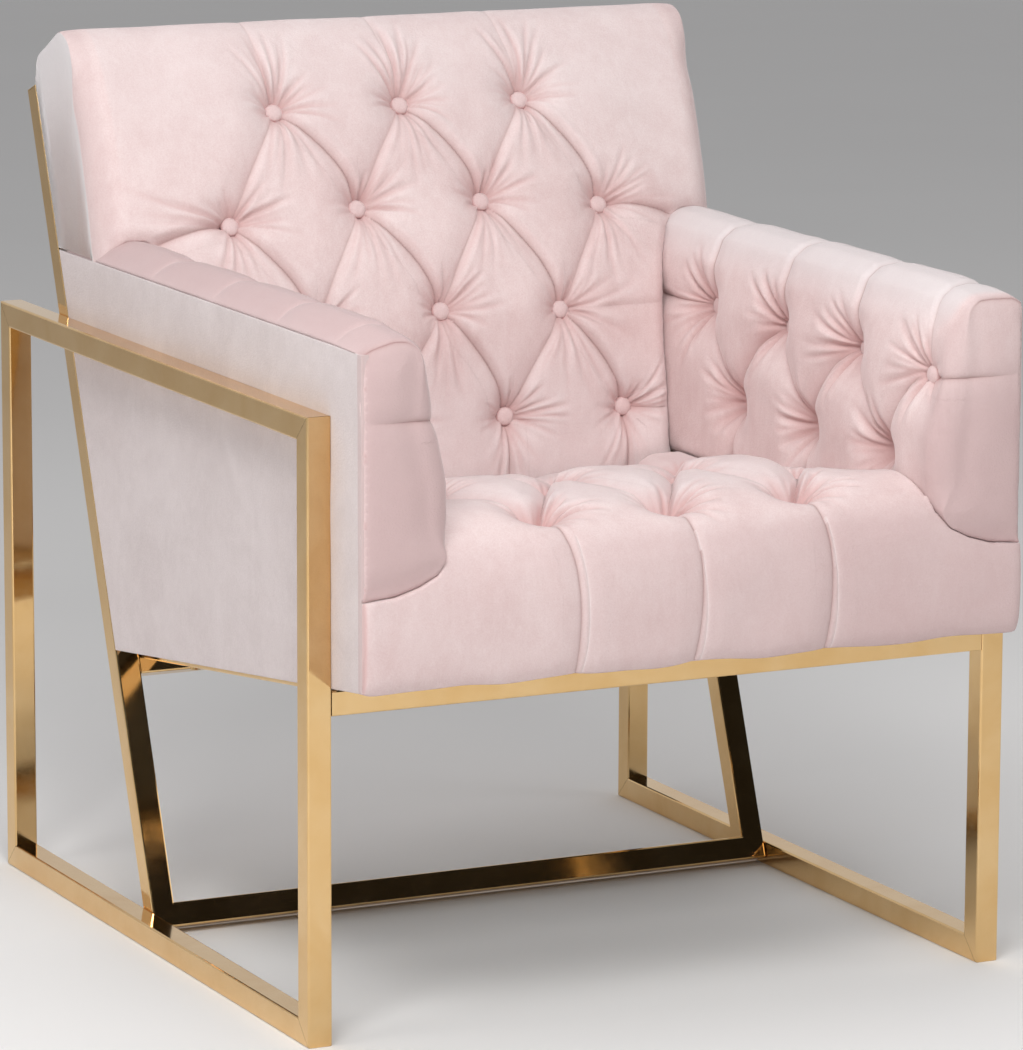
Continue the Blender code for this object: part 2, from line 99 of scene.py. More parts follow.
def arc(points, spacing, soften=0.0):
    """A polyline resampled evenly, its corners softened; returns the points and arc lengths."""
    pts = np.array(points, float)
    run = np.concatenate([[0], np.cumsum(np.linalg.norm(np.diff(pts, axis=0), axis=1))])
    fine = np.linspace(0, run[-1], int(run[-1] / FINE) + 1)
    dense = np.stack([np.interp(fine, run, pts[:, k]) for k in range(pts.shape[1])], 1)
    if soften:
        half = int(3 * soften / FINE)
        kernel = np.exp(-0.5 * (np.arange(-half, half + 1) * FINE / soften) ** 2)
        kernel /= kernel.sum()
        lead = 2 * dense[0] - dense[half:0:-1]
        tail = 2 * dense[-1] - dense[-2:-half - 2:-1]
        padded = np.vstack([lead, dense, tail])
        dense = np.stack([np.convolve(padded[:, k], kernel, "valid") for k in range(pts.shape[1])], 1)
    run = np.concatenate([[0], np.cumsum(np.linalg.norm(np.diff(dense, axis=0), axis=1))])
    count = int(round(run[-1] / spacing)) + 1
    even = np.linspace(0, run[-1], count)
    return np.stack([np.interp(even, run, dense[:, k]) for k in range(pts.shape[1])], 1), even


def normals_2d(points):
    """Unit normals to the left of a polyline's direction of travel."""
    along = np.gradient(points, axis=0)
    along /= np.linalg.norm(along, axis=1)[:, None]
    return np.stack([-along[:, 1], along[:, 0]], 1)


def distance_to_curve(a, b, curve):
    """Distance from each (a, b) to the nearest point of a finely sampled curve."""
    out = np.full(a.shape, 1e9)
    for p in curve:
        np.minimum(out, (a - p[0]) ** 2 + (b - p[1]) ** 2, out=out)
    return np.sqrt(out)


def wander(a, b, scale, seed, octaves=2):
    """Smooth unevenness between about -1 and 1, made of a few crossing waves."""
    rng = np.random.RandomState(seed)
    out = np.zeros(a.shape)
    total = 0.0
    for octave in range(octaves):
        amount = 0.55 ** octave
        for _ in range(5):
            turn, phase, size = rng.uniform(0, pi), rng.uniform(0, 2 * pi), rng.uniform(0.7, 1.4)
            wave = 2 * pi * size * 1.9 ** octave / scale
            out += amount * np.sin(wave * (a * cos(turn) + b * sin(turn)) + phase)
        total += amount * sqrt(5 / 2) * 1.6
    return out / total


class Tufting:
    """Buttons, pleats and gathers on a sheet of velvet laid out in metres."""

    def __init__(self, seed):
        self.rng = np.random.RandomState(seed)
        self.pits, self.pleats, self.gathers = [], [], []

    def pit(self, at, depth, reach, floor=0.0075):
        self.pits.append((at, depth, reach, floor))

    def pleat(
        self, start, end, bow=0.0, peak=0.5, middle=0.004, reach=0.034, fold=0.0028, roll=1,
        taper=(1, 1), tone=1.0, steep=1.0,
    ):
        """A valley between two buttons; the lobe on its roll side stands over it with a crisp edge. Its tone
        sets the painted shade line along it, and a painted highlight instead where it is negative.
        """
        ends = np.array(start), np.array(end)
        self.pleats.append((*ends, bow, peak, middle, reach, fold, roll, taper, tone, steep))

    def fan(self, at, heading, spread, count, length, height=0.0030, width=0.0024, start=0.0075):
        """Gathers that fan out from a button over heading plus or minus spread."""
        for i in range(count):
            turn = heading + spread * ((i + 0.5) / count * 2 - 1) + self.rng.uniform(-0.07, 0.07)
            reach = length * self.rng.uniform(0.55, 1.2)
            tall = height * self.rng.uniform(0.55, 1.2)
            wide = width * self.rng.uniform(0.75, 1.3)
            bend = self.rng.uniform(-0.20, 0.20)
            self.gathers.append((at, turn, reach, tall, wide, start, bend))

    def fans(self, at, *table):
        for row in table:
            self.fan(at, *row)

    def shape(self, a, b):
        """Depth below the sheet's outer surface, signed distance to the nearest pleat, pleat tone (its
        painted shade line, a painted highlight where negative), and painted shade along the gathers' creases.
        """
        power = 3
        broad = np.zeros(a.shape)
        narrow = np.zeros(a.shape)
        raised = np.zeros(a.shape)
        crease_shade = np.zeros(a.shape)
        side = np.full(a.shape, NO_PLEAT)
        tones = np.zeros(a.shape)
        for at, depth, reach, floor in self.pits:
            r = np.clip(np.hypot(a - at[0], b - at[1]) - floor, 0, None)
            broad += (depth * np.clip(1 - r / reach, 0, 1) ** 2.3) ** power
        for start, end, bow, peak, middle, reach, fold, roll, taper, tone, steep in self.pleats:
            span = end - start
            length = np.hypot(*span)
            u = span / length
            t = ((a - start[0]) * u[0] + (b - start[1]) * u[1]) / length
            across = -(a - start[0]) * u[1] + (b - start[1]) * u[0]
            tc = np.clip(t, 0, 1)
            skew = np.log(0.5) / np.log(peak)
            delta = across - bow * np.sin(pi * tc ** skew)
            past = np.clip(np.abs(t - 0.5) - 0.5, 0, None) * length
            rolled = delta * roll
            d = np.hypot(np.where(rolled > 0, delta / steep, delta), past)
            gone = np.clip(1 - past / 0.006, 0, 1)
            fade = taper[0] + (taper[1] - taper[0]) * tc
            deep = middle * fade * (1 + 0.6 * np.abs(2 * tc - 1) ** 2)
            broad += (deep * np.clip(1 - d / reach, 0, 1) ** 2) ** power
            width = np.where(rolled > 0, 0.0024, 0.0075)
            amount = fold * gone * fade
            groove = amount * np.exp(-np.abs(rolled) / width)
            lip = 0.45 * amount * np.exp(-(((rolled - 0.0075) / 0.0050) ** 2))
            narrow = np.maximum(narrow, groove)
            raised = np.maximum(raised, lip)
            nearer = np.abs(delta) + past < np.abs(side)
            side = np.where(nearer, delta * roll, side)
            tones = np.where(nearer, gone * fade * tone, tones)
        out = broad ** (1 / power) + narrow - raised * np.clip(1 - narrow / 0.002, 0, 1)
        for at, turn, reach, tall, wide, start, bend in self.gathers:
            da, db = a - at[0], b - at[1]
            along = da * cos(turn) + db * sin(turn)
            near = (along > 0) & (along < reach) & (np.abs(da) + np.abs(db) < 1.5 * reach)
            if not near.any():
                continue
            al = along[near]
            across = -da[near] * sin(turn) + db[near] * cos(turn) - bend * al * al / reach
            spread = wide * (0.50 + 1.5 * al / reach)
            fade = smooth(al, start * 0.6, start * 1.2) * (1 - (al / reach) ** 1.5)
            groove = np.exp(-np.abs(across / spread) ** 1.3)
            ridge = np.exp(-(((np.abs(across) - 2.0 * spread) / (1.1 * spread)) ** 2))
            out[near] += tall * fade * (groove - 0.40 * ridge)
            shade = tall / 0.0030 * fade * np.exp(-((across / (0.8 * spread)) ** 2))
            crease_shade[near] = np.maximum(crease_shade[near], shade)
        return out, side, tones, crease_shade


def tube_mesh(rings, cap_first=True, cap_last=True):
    """A closed body from an array of rings, each a closed loop of points; returns vertices, faces."""
    count, size, _ = rings.shape
    verts = rings.reshape(-1, 3)
    index = np.arange(count * size).reshape(count, size)
    nxt = np.roll(index, -1, 1)
    quads = np.stack([index[:-1], nxt[:-1], nxt[1:], index[1:]], -1).reshape(-1, 4)
    faces = [tuple(q) for q in quads.tolist()]
    if cap_first:
        faces.append(tuple(index[0][::-1].tolist()))
    if cap_last:
        faces.append(tuple(index[-1].tolist()))
    return verts, faces


def add_mesh(name, verts, faces, material, attributes=None, sharp=None):
    """A smooth-shaded mesh object at its place in the model's frame."""
    mesh = bpy.data.meshes.new(name)
    placed = np.array(verts, float) + np.array([0, FRONT_Y, 0])
    mesh.from_pydata(placed.tolist(), [], faces)
    for key, values in (attributes or {}).items():
        layer = mesh.attributes.new(key, "FLOAT", "POINT")
        layer.data.foreach_set("value", np.asarray(values, np.float32).ravel())
    mesh.materials.append(material)
    bm = bmesh.new()
    bm.from_mesh(mesh)
    bmesh.ops.recalc_face_normals(bm, faces=bm.faces)
    bm.to_mesh(mesh)
    bm.free()
    mesh.shade_smooth()
    if sharp:
        mesh.set_sharp_from_angle(angle=sharp)
    piece = bpy.data.objects.new(name, mesh)
    bpy.context.scene.collection.objects.link(piece)
    return piece


def keep(piece, slot, *replaced, fill=None):
    """Attaches a piece to the root body and hides the model's parts it replaces."""
    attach(piece, "root")
    if replaced:
        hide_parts(*replaced)
    return piece


# ---- materials ----
class Nodes:
    """Short names for the nodes of one material or world."""

    def __init__(self, tree):
        self.tree = tree

    def wire(self, socket, value):
        if isinstance(value, bpy.types.NodeSocket):
            self.tree.links.new(value, socket)
        else:
            socket.default_value = value

    def add(self, kind, inputs=None, **settings):
        made = self.tree.nodes.new(kind)
        for key, value in settings.items():
            setattr(made, key, value)
        for key, value in (inputs or {}).items():
            self.wire(made.inputs[key], value)
        return made

    def ramp(self, value, low, high, to_low=0.0, to_high=1.0):
        inputs = {"Value": value, "From Min": low, "From Max": high, "To Min": to_low, "To Max": to_high}
        return self.add("ShaderNodeMapRange", inputs).outputs["Result"]

    def math(self, operation, a, b=0.0):
        return self.add("ShaderNodeMath", {0: a, 1: b}, operation=operation).outputs["Value"]

    def plus(self, a, b):
        return self.math("ADD", a, b)

    def times(self, a, b):
        return self.math("MULTIPLY", a, b)

    def above_zero(self, a):
        return self.math("MAXIMUM", a, 0.0)

    def below_zero(self, a):
        return self.above_zero(self.times(a, -1.0))

    def mix(self, amount, a, b):
        """Colour a blended into colour b by amount; the numbers are the node's colour sockets."""
        made = self.add("ShaderNodeMix", data_type="RGBA")
        for socket, value in ((0, amount), (6, a), (7, b)):
            self.wire(made.inputs[socket], (*value, 1.0) if isinstance(value, tuple) else value)
        return made.outputs[2]


class Material(Nodes):
    """A procedural material on the object's own coordinates."""

    def __init__(self, name):
        self.made = bpy.data.materials.new(name)
        self.made.use_nodes = True
        super().__init__(self.made.node_tree)
        self.shader = self.tree.nodes["Principled BSDF"]
        self.place = self.add("ShaderNodeTexCoord").outputs["Object"]

    def stretched(self, scale):
        return self.add("ShaderNodeMapping", {"Vector": self.place, "Scale": scale}).outputs["Vector"]

    def noise(self, scale, detail=2.0, rough=0.5, distortion=0.0, at=None):
        inputs = {"Scale": scale, "Detail": detail, "Roughness": rough, "Distortion": distortion}
        inputs["Vector"] = self.place if at is None else at
        return self.add("ShaderNodeTexNoise", inputs).outputs["Fac"]

    def attribute(self, name):
        return self.add("ShaderNodeAttribute", attribute_name=name).outputs["Fac"]

    def relief(self, height, strength, distance, over=None):
        """A bump that drives the shader's normal, on top of the normal over."""
        inputs = {"Height": height, "Strength": strength, "Distance": distance}
        if over is not None:
            inputs["Normal"] = over
        normal = self.add("ShaderNodeBump", inputs).outputs["Normal"]
        self.tree.links.new(normal, self.shader.inputs["Normal"])
        return normal

    def dress(self, **values):
        """Sets the shader's inputs: base_color= is its Base Color."""
        for key, value in values.items():
            self.wire(self.shader.inputs[SHADER_INPUTS[key]], value)
        return self.made


SHADER_INPUTS = {
    "base_color": "Base Color", "roughness": "Roughness", "metallic": "Metallic",
    "specular": "Specular IOR Level", "sheen": "Sheen Weight", "sheen_roughness": "Sheen Roughness",
    "sheen_tint": "Sheen Tint",
}
# Colours of painted sheen (silver) and painted shade (rose) laid into the velvet, and of a pleat's painted
# highlight.
SILVER_SHEEN = (0.715, 0.675, 0.678)
ROSE_SHADE = (0.545, 0.390, 0.386)
PLEAT_HIGHLIGHT = (0.90, 0.83, 0.82)
PLEAT_SHARPNESS = -900.0


def scaled(colour, factors):
    return tuple(c * f for c, f in zip(colour, factors))


def velvet(name, deep, pale, brush=0.22):
    """Velvet between a deep and a pale colour, with painted shade, sheen and highlights from the tufting's
    vertex attributes.
    """
    m = Material(name)
    cloud = m.ramp(m.noise(8.0, 3.0, 0.6, 0.8), 0.36, 0.66)
    patch = m.ramp(m.noise(42.0, 4.0, 0.6, 0.6), 0.33, 0.70)
    grain = m.noise(620.0, 3.0, 0.75)
    brushed = m.ramp(m.noise(1.0, 3.0, 0.6, 1.5, at=m.stretched((60.0, 60.0, 14.0))), 0.40, 0.72)
    lay = m.plus(m.times(cloud, 0.40), m.times(patch, 0.26))
    lay = m.plus(lay, m.times(brushed, brush))
    lay = m.plus(lay, m.ramp(grain, 0.32, 0.68, -0.20, 0.40))
    colour = m.mix(lay, deep, pale)
    # Painted sheen (silver) where this attribute is positive, painted shade (rose) where it is negative.
    sheen_shade = m.attribute("sheen_shade")
    colour = m.mix(m.above_zero(sheen_shade), colour, SILVER_SHEEN)
    colour = m.mix(m.below_zero(sheen_shade), colour, ROSE_SHADE)
    # Painted shade as a dark line along each pleat; a painted highlight as a pale one instead where its tone
    # is negative.
    strength = m.attribute("pleat_shade_highlight")
    line = m.math("EXPONENT", m.times(m.math("ABSOLUTE", m.attribute("pleat_side")), PLEAT_SHARPNESS))
    shaded = m.times(line, m.above_zero(strength))
    lifted = m.times(line, m.below_zero(strength))
    colour = m.mix(m.times(shaded, 0.70), colour, scaled(deep, (0.55, 0.40, 0.38)))
    colour = m.mix(m.times(lifted, 0.60), colour, PLEAT_HIGHLIGHT)
    # Painted shade in the gathers' creases and in the deeper hollows.
    shade_tint = scaled(deep, (0.88, 0.73, 0.72))
    colour = m.mix(m.times(m.attribute("crease_shade"), 0.65), colour, shade_tint)
    colour = m.mix(m.ramp(m.attribute("sunk_shade"), 0.005, 0.022, 0.0, 0.55), colour, shade_tint)
    weave = m.plus(m.times(grain, 0.6), m.times(m.noise(420.0, 2.0, 0.6), 0.8))
    fine = m.relief(weave, 0.50, 0.0009)
    m.relief(m.times(line, m.times(m.math("ABSOLUTE", strength), -1.0)), 0.7, 0.0012, over=fine)
    return m.dress(
        base_color=colour, roughness=m.ramp(cloud, 0.0, 1.0, 0.88, 0.76), specular=0.18, sheen=0.42,
        sheen_roughness=0.34, sheen_tint=(1.0, 0.95, 0.95, 1.0),
    )


def gold():
    m = Material("polished_gold_tube")
    smear = m.noise(14.0, 4.0, 0.6, 0.4)
    fine = m.noise(160.0, 3.0, 0.6)
    ripple = m.plus(m.times(m.noise(9.0, 2.0, 0.5), 1.0), m.times(m.noise(45.0, 1.0, 0.5), 0.12))
    m.relief(ripple, 0.35, 0.0020)
    return m.dress(
        base_color=m.mix(m.ramp(smear, 0.35, 0.7), (0.745, 0.485, 0.215), (0.81, 0.565, 0.285)), metallic=1.0,
        roughness=m.plus(m.ramp(smear, 0.3, 0.75, 0.07, 0.15), m.ramp(fine, 0.4, 0.8, 0.0, 0.05)),
    )


def plywood():
    m = Material("birch_plywood")
    grain = m.noise(8.0, 5.0, 0.6, 1.2, at=m.stretched((3.0, 1.0, 40.0)))
    m.relief(grain, 0.2, 0.0005)
    colour = m.mix(m.ramp(grain, 0.3, 0.7), (0.46, 0.31, 0.17), (0.68, 0.52, 0.34))
    return m.dress(base_color=colour, roughness=0.7)


def dust_cloth():
    m = Material("black_dust_cloth")
    weave = m.add("ShaderNodeTexVoronoi", {"Vector": m.place, "Scale": 700.0}).outputs["Distance"]
    m.relief(weave, 0.4, 0.0004)
    colour = m.mix(m.ramp(m.noise(30.0, 3.0), 0.3, 0.7), (0.010, 0.010, 0.011), (0.030, 0.029, 0.030))
    return m.dress(base_color=colour, roughness=0.95)


def zinc():
    m = Material("zinc_plated_steel")
    spangle = m.noise(240.0, 3.0)
    colour = m.mix(spangle, (0.46, 0.47, 0.49), (0.66, 0.67, 0.68))
    return m.dress(base_color=colour, metallic=1.0, roughness=m.ramp(spangle, 0.3, 0.7, 0.25, 0.42))


def pale_floor():
    m = Material("pale_floor")
    colour = m.mix(m.noise(1.2, 2.0), (0.80, 0.79, 0.78), (0.84, 0.83, 0.82))
    return m.dress(base_color=colour, roughness=0.85)


DEEP = (0.700, 0.530, 0.518)
PALE = (0.815, 0.685, 0.672)
VELVET = velvet("blush_velvet_tufted", DEEP, PALE)
# The same velvet painted greyer and darker for the flat panels: painted shade and painted sheen.
FLAT_VELVET_SHADE_SHEEN = velvet("blush_velvet_flat_shade_sheen", (0.605, 0.525, 0.518), (0.722, 0.643, 0.637), brush=0.10)
BUTTON_VELVET = velvet("blush_velvet_button", (0.680, 0.500, 0.490), (0.780, 0.625, 0.615))
GOLD = gold()
PLYWOOD = plywood()
DUST = dust_cloth()
ZINC = zinc()

# ---- the arms' section, which the back and the seat meet ----
# Front view of an arm halfway along, from the inner bottom over the crown to the outer edge, as (x, z).
ARM_MAIN = (
    (BOARD_X - GAP, 0.4458), (0.290, 0.4458), (0.268, 0.4460), (0.2632, 0.4560), (0.2625, 0.510),
    (0.2625, 0.560), (0.2660, 0.615), (0.2745, 0.656), (0.287, 0.684), (0.305, 0.6965), (0.323, 0.6980),
    (0.340, 0.6905),
    (BODY_X, 0.6768),
)
# The same for the arm's front face, which hangs a little lower and is rounded underneath.
ARM_NOSE = (
    (BODY_X, 0.4425), (0.320, 0.4455), (0.295, 0.4530), (0.275, 0.4630), (0.2635, 0.479), (0.2575, 0.512),
    (0.2580, 0.548), (0.2685, 0.601), (0.2765, 0.635), (0.283, 0.662), (0.291, 0.680), (0.304, 0.6885),
    (0.320, 0.6895), (0.342, 0.6835), (BODY_X, 0.6750),
)
ARM_CURVE, _ = arc(ARM_MAIN, 0.002, 0.004)
NOSE_CURVE, _ = arc(ARM_NOSE, 0.002, 0.004)

BACK_PITCH = 0.141


# ---- back cushion ----
# Side view of the back's outer surface, from behind the seat over the top to its rear edge, as (y, z).
BACK_SIDE = (
    (0.483, 0.400), (0.4835, 0.500), (0.490, 0.612), (0.513, 0.668), (0.538, 0.717), (0.592, 0.818),
    (0.630, 0.873), (0.655, 0.8965), (0.680, BACK_TOP_Z + 0.0015), (0.712, 0.8885), (0.7475, 0.8715),
    (0.7500, 0.850),
)
# How far the back's sides stand behind its middle, by height.
BACK_BOW = ((0.40, 0.012), (0.50, 0.014), (0.60, 0.038), (0.70, 0.040), (0.741, 0.028), (0.783, 0.018),
            (0.824, 0.010), (0.865, 0.005), (0.90, 0.001))
WEDGE_X = 0.2620


def rows_of_back_buttons():
    centres = []
    for k in range(1, 15):
        low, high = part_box(f"back_button_{k}")
        centre = (low + high) / 2
        centres.append((centre.x, centre.z))
    return centres[:3], centres[3:7], centres[7:10], centres[10:14]


# Fans of gathers, as (heading, half spread, count, length, height, width).
TOP_ROW_FANS = (
    (pi / 2 + 0.05, 0.50, 10, 0.094, 0.0032, 0.0020), (pi / 2, 1.25, 10, 0.042, 0.0024, 0.0019),
)
LOWER_ROW_FANS = ((pi / 2, 0.60, 8, 0.040, 0.0026, 0.0019),)
BACK_FANS = (
    (-pi / 2, 0.46, 12, 0.094, 0.0023, 0.0024), (0.30, 0.70, 11, 0.062, 0.0032, 0.0019),
    (pi - 0.25, 0.65, 9, 0.040, 0.0023, 0.0019),
)


def back_tufts(rows, at, top):
    tufts = Tufting(3)
    for r, row in enumerate(rows):
        for x, z in row:
            here = at(x, z)
            tufts.pit(here, 0.0205, 0.050)
            tufts.fans(here, *(TOP_ROW_FANS if r == 0 else LOWER_ROW_FANS), *BACK_FANS)
    for r in range(3):
        for x, z in rows[r]:
            for x2, z2 in rows[r + 1]:
                if abs(x2 - x) < BACK_PITCH:
                    right = x2 > x
                    tufts.pleat(
                        at(x, z), at(x2, z2), bow=0.0085 if right else -0.0035, peak=0.60,
                        middle=0.0050, reach=0.036, fold=0.0048 if right else 0.0034,
                        roll=1, tone=1.0 if right else 0.6, steep=0.65,
                    )
    for x, z in rows[0]:
        tufts.pleat(
            at(x, z), np.array((x - 0.012, top)), bow=0.006, middle=0.0022, reach=0.024, fold=0.0020,
            roll=-1, taper=(1, 0.4), tone=0.4,
        )
    for sign in (-1, 1):
        end = -1 if sign > 0 else 0
        second, third, fourth = rows[1][end], rows[2][end], rows[3][end]
        out = 0.0 if sign > 0 else pi
        corner = at(sign * 0.302, 0.686)
        tufts.pleat(
            at(*second), corner, bow=sign * 0.003, middle=0.006, reach=0.028, fold=0.0044, roll=sign,
            steep=0.7,
        )
        tufts.fan(at(*second), out + sign * 0.12, 0.22, 4, 0.115, height=0.0024, width=0.0032)
        tufts.pleat(
            at(*third), at(sign * WEDGE_X, third[1] - 0.002), middle=0.003, reach=0.022, fold=0.0010,
            taper=(1, 0.4), tone=0.3,
        )
        tufts.fan(at(*third), out, 0.5, 7, 0.090, height=0.0024, width=0.0030)
        tufts.pleat(
            at(*fourth), at(sign * WEDGE_X, fourth[1] - 0.002), middle=0.005, reach=0.026, fold=0.0022,
            roll=-1,
        )
    for x, z in rows[3]:
        tufts.pleat(at(x, z), np.array((x, 0.0)), middle=0.005, reach=0.028, fold=0.0024, roll=-1)
    return tufts


def spread_over(rings, sheet, fill=0.0):
    """Values known on a sheet's part of each ring, with fill on the rest."""
    out = np.full(rings.shape[:2], fill)
    out[:, :sheet.shape[1]] = sheet
    return out


def sheet_data(rings, side, tone, sunk_shade, crease_shade, sheen_shade, sheen_shade_fill=0.0):
    """A sheet's vertex attributes: painted shade at pleats, creases and hollows; painted sheen where the
    sheen and shade values are positive (silver), painted shade where negative (rose).
    """
    sheets = (
        ("pleat_side", side, NO_PLEAT), ("pleat_shade_highlight", tone, 0.0), ("sunk_shade", sunk_shade, 0.0),
        ("crease_shade", crease_shade, 0.0), ("sheen_shade", np.clip(sheen_shade, -1, 1), sheen_shade_fill),
    )
    return {key: spread_over(rings, sheet, fill) for key, sheet, fill in sheets}


def side_ring(x, y, z, hidden_y, hidden_z):
    """One closed loop of a body at x: its sheet, then its hidden rear or underside."""
    y, z = np.concatenate([y, hidden_y]), np.concatenate([z, hidden_z])
    return np.stack([np.full(len(y), x), y, z], 1)


def columns(half, turn, turns, span):
    """The x of a body's rings: denser at its rounded sides, with a step where the arms begin."""
    curve = half - turn + turn * np.sin(np.linspace(0, pi / 2, turns + 1)[1:])
    flat = np.linspace(-(half - turn), half - turn, int(span / STEP) + 1)
    across = np.concatenate([-curve[::-1], flat, curve])
    inner = np.linspace(-WEDGE_X, WEDGE_X, int(2 * WEDGE_X / STEP) + 1)
    return np.sort(np.concatenate([inner, across[np.abs(across) > WEDGE_X + SEAM_STEP]]))


def nearest(grid_a, grid_b, a, b):
    return int(np.argmin(np.abs(grid_a - a))), int(np.argmin(np.abs(grid_b - b)))


def set_buttons(spots, across, run, rings, normal, name, *replaced):
    """Sets a button on a sheet at each spot; the names hold a place for its number."""
    for number, spot in enumerate(spots, 1):
        i, j = nearest(across, run, *spot)
        facing = Vector((0, -normal[j, 0], -normal[j, 1]))
        made = button(name.format(number), Vector(rings[i, j]) + facing * BUTTON_PROUD, facing)
        keep(made, "velvet_buttons", *(node.format(number) for node in replaced))


def back_cushion():
    profile, run = arc(BACK_SIDE, STEP, 0.008)
    normal = normals_2d(profile)
    if normal[0, 0] < 0:
        normal = -normal
    y_of, z_of = profile[:, 0], profile[:, 1]
    top_row = int(np.argmax(z_of))

    def at(x, z):
        # A button sinks along the leaning surface's normal, so its place on the sheet is a little higher.
        lifted = z - 0.018 * np.interp(z, z_of[:top_row], normal[:top_row, 1])
        return np.array((x, np.interp(lifted, z_of[:top_row], run[:top_row])))

    rows = rows_of_back_buttons()
    tufts = back_tufts(rows, at, run[top_row] + 0.04)
    half = BODY_X - 0.0002
    turn_x = 0.032
    across = columns(half, turn_x, 14, 2 * (half - turn_x))
    x_grid, s_grid = np.meshgrid(across, run, indexing="ij")
    z_grid = np.broadcast_to(z_of, x_grid.shape)
    depth, side, tone, crease_shade = tufts.shape(x_grid, s_grid)
    depth += 0.0010 * wander(x_grid, s_grid, 0.15, 11)
    crown = arm_top(np.abs(across))
    outside = np.abs(across) > WEDGE_X + 0.0006
    clear = distance_to_curve(np.abs(x_grid), z_grid, ARM_CURVE)
    clear = np.where(z_grid > 0.74, 0.05, clear)
    lip = round_in(clear, 0.016)
    over_top = s_grid > run[top_row]
    turn = np.where(over_top, 0.0025, turn_x * (1 - 0.92 * smooth(z_grid, 0.840, 0.900)))
    turned = 1 - np.clip((half - np.abs(x_grid)) / turn_x, 0, 1)
    edge = turn * (1 - np.sqrt(1 - turned ** 2))
    bow_z = np.interp(z_of, [b[0] for b in BACK_BOW], [b[1] for b in BACK_BOW])
    bow = np.where(over_top, 0, (np.abs(x_grid) / half) ** 2 * bow_z[None])
    quiet = smooth(half - np.abs(x_grid), 0.0, 0.03) * smooth(clear, 0.0, 0.010)
    top_fade = 1 - 0.6 * smooth(z_grid, 0.88, 0.902)
    inward = depth * (0.25 + 0.75 * quiet) * top_fade * smooth(run[-1] - s_grid, 0.0, 0.03) + lip + edge
    y = y_of[None] + inward * normal[:, 0][None] + bow
    z = z_of[None] + inward * normal[:, 1][None]

    rear_z = np.linspace(profile[-1, 1] - 0.004, 0.400, 36)
    rings = []
    for i, x in enumerate(across):
        yi, zi = y[i].copy(), z[i].copy()
        # Beyond the board's edge the velvet wraps round it to the leaning posts.
        rear_y0 = POST_Y0 if abs(x) > BOARD_X_OUT + GAP else BOARD_Y0
        rz = rear_z.copy()
        if outside[i]:
            floor_z = crown[i] + GAP
            first = int(np.argmax(z_of > floor_z + 0.0015))
            lam = np.linspace(0, 1, first + 1)[:-1]
            yi[:first] = at_board(floor_z) * (1 - lam) + (y[i, first] + 0.001) * lam
            zi[:first] = floor_z
            rz = np.maximum(rz, floor_z)
        rings.append(side_ring(x, yi, zi, at_board(rz, rear_y0), rz))
    rings = np.array(rings)
    verts, faces = tube_mesh(rings)
    # Painted sheen (silver) on the outer face of the back's sides and on its hidden rear, painted shade in
    # the turn towards the sides, and painted light higher up the front and low down above the seat.
    rounded = (1 - np.sqrt(1 - turned ** 2)) * (z_grid > 0.66)
    sheen_shade = 0.95 * smooth(rounded, 0.985, 1.0)
    sheen_shade = sheen_shade - 0.28 * smooth(rounded, 0.02, 0.20) * smooth(rounded, 0.985, 0.90)
    sheen_shade += 0.18 * smooth(z_grid, 0.72, 0.86) * (rounded < 0.02) + 0.30 * smooth(z_grid, 0.60, 0.50)
    data = sheet_data(rings, side, tone * quiet, depth * quiet, crease_shade * quiet, sheen_shade, 0.95)
    keep(add_mesh("tufted_back", verts, faces, VELVET, data), "blush_velvet", "back_cushion", fill=0.75)
    spots = [at(*centre) for row in rows for centre in row]
    set_buttons(spots, across, run, rings, normal, "back_button_{}_covered", "back_button_{}")


def arm_top(x):
    """Height of the arms' upper surface at each |x|, for the back that sits on it."""
    inner = ARM_CURVE[:, 1] > 0.505
    return np.interp(x, ARM_CURVE[inner, 0], ARM_CURVE[inner, 1])


# ---- seat cushion ----
# Side view of the seat's outer surface, from the front hem over the roll to the rear, as (y, z).
SEAT_SIDE = (
    (-0.0700, 0.3545), (-0.0755, 0.3640), (-0.0775, 0.385), (-0.0780, 0.410), (-0.0765, 0.437),
    (-0.0715, 0.461), (-0.0600, 0.4810), (-0.0400, 0.4965), (-0.010, 0.5065), (0.040, 0.5130),
    (0.090, 0.5150), (0.130, 0.5130),
    (0.170, 0.5055), (0.210, 0.4960), (0.250, 0.4865), (0.310, 0.4730), (0.370, 0.4600), (0.440, 0.4460),
    (0.4790, 0.4390),
)
SEAT_PITCH = 0.139
THREE_ACROSS = (-1, 0, 1)
FOUR_ACROSS = (-1.5, -0.5, 0.5, 1.5)
SEAT_ROWS = (
    (-0.002, THREE_ACROSS), (0.126, FOUR_ACROSS), (0.254, THREE_ACROSS), (0.380, FOUR_ACROSS),
)


SEAT_FANS = (
    (0.45, 0.75, 12, 0.062, 0.0052, 0.0020), (-0.70, 0.50, 7, 0.060, 0.0034, 0.0026),
    (pi - 0.3, 0.6, 7, 0.046, 0.0030, 0.0022), (pi / 2 + 0.2, 0.5, 5, 0.050, 0.0028, 0.0022),
)


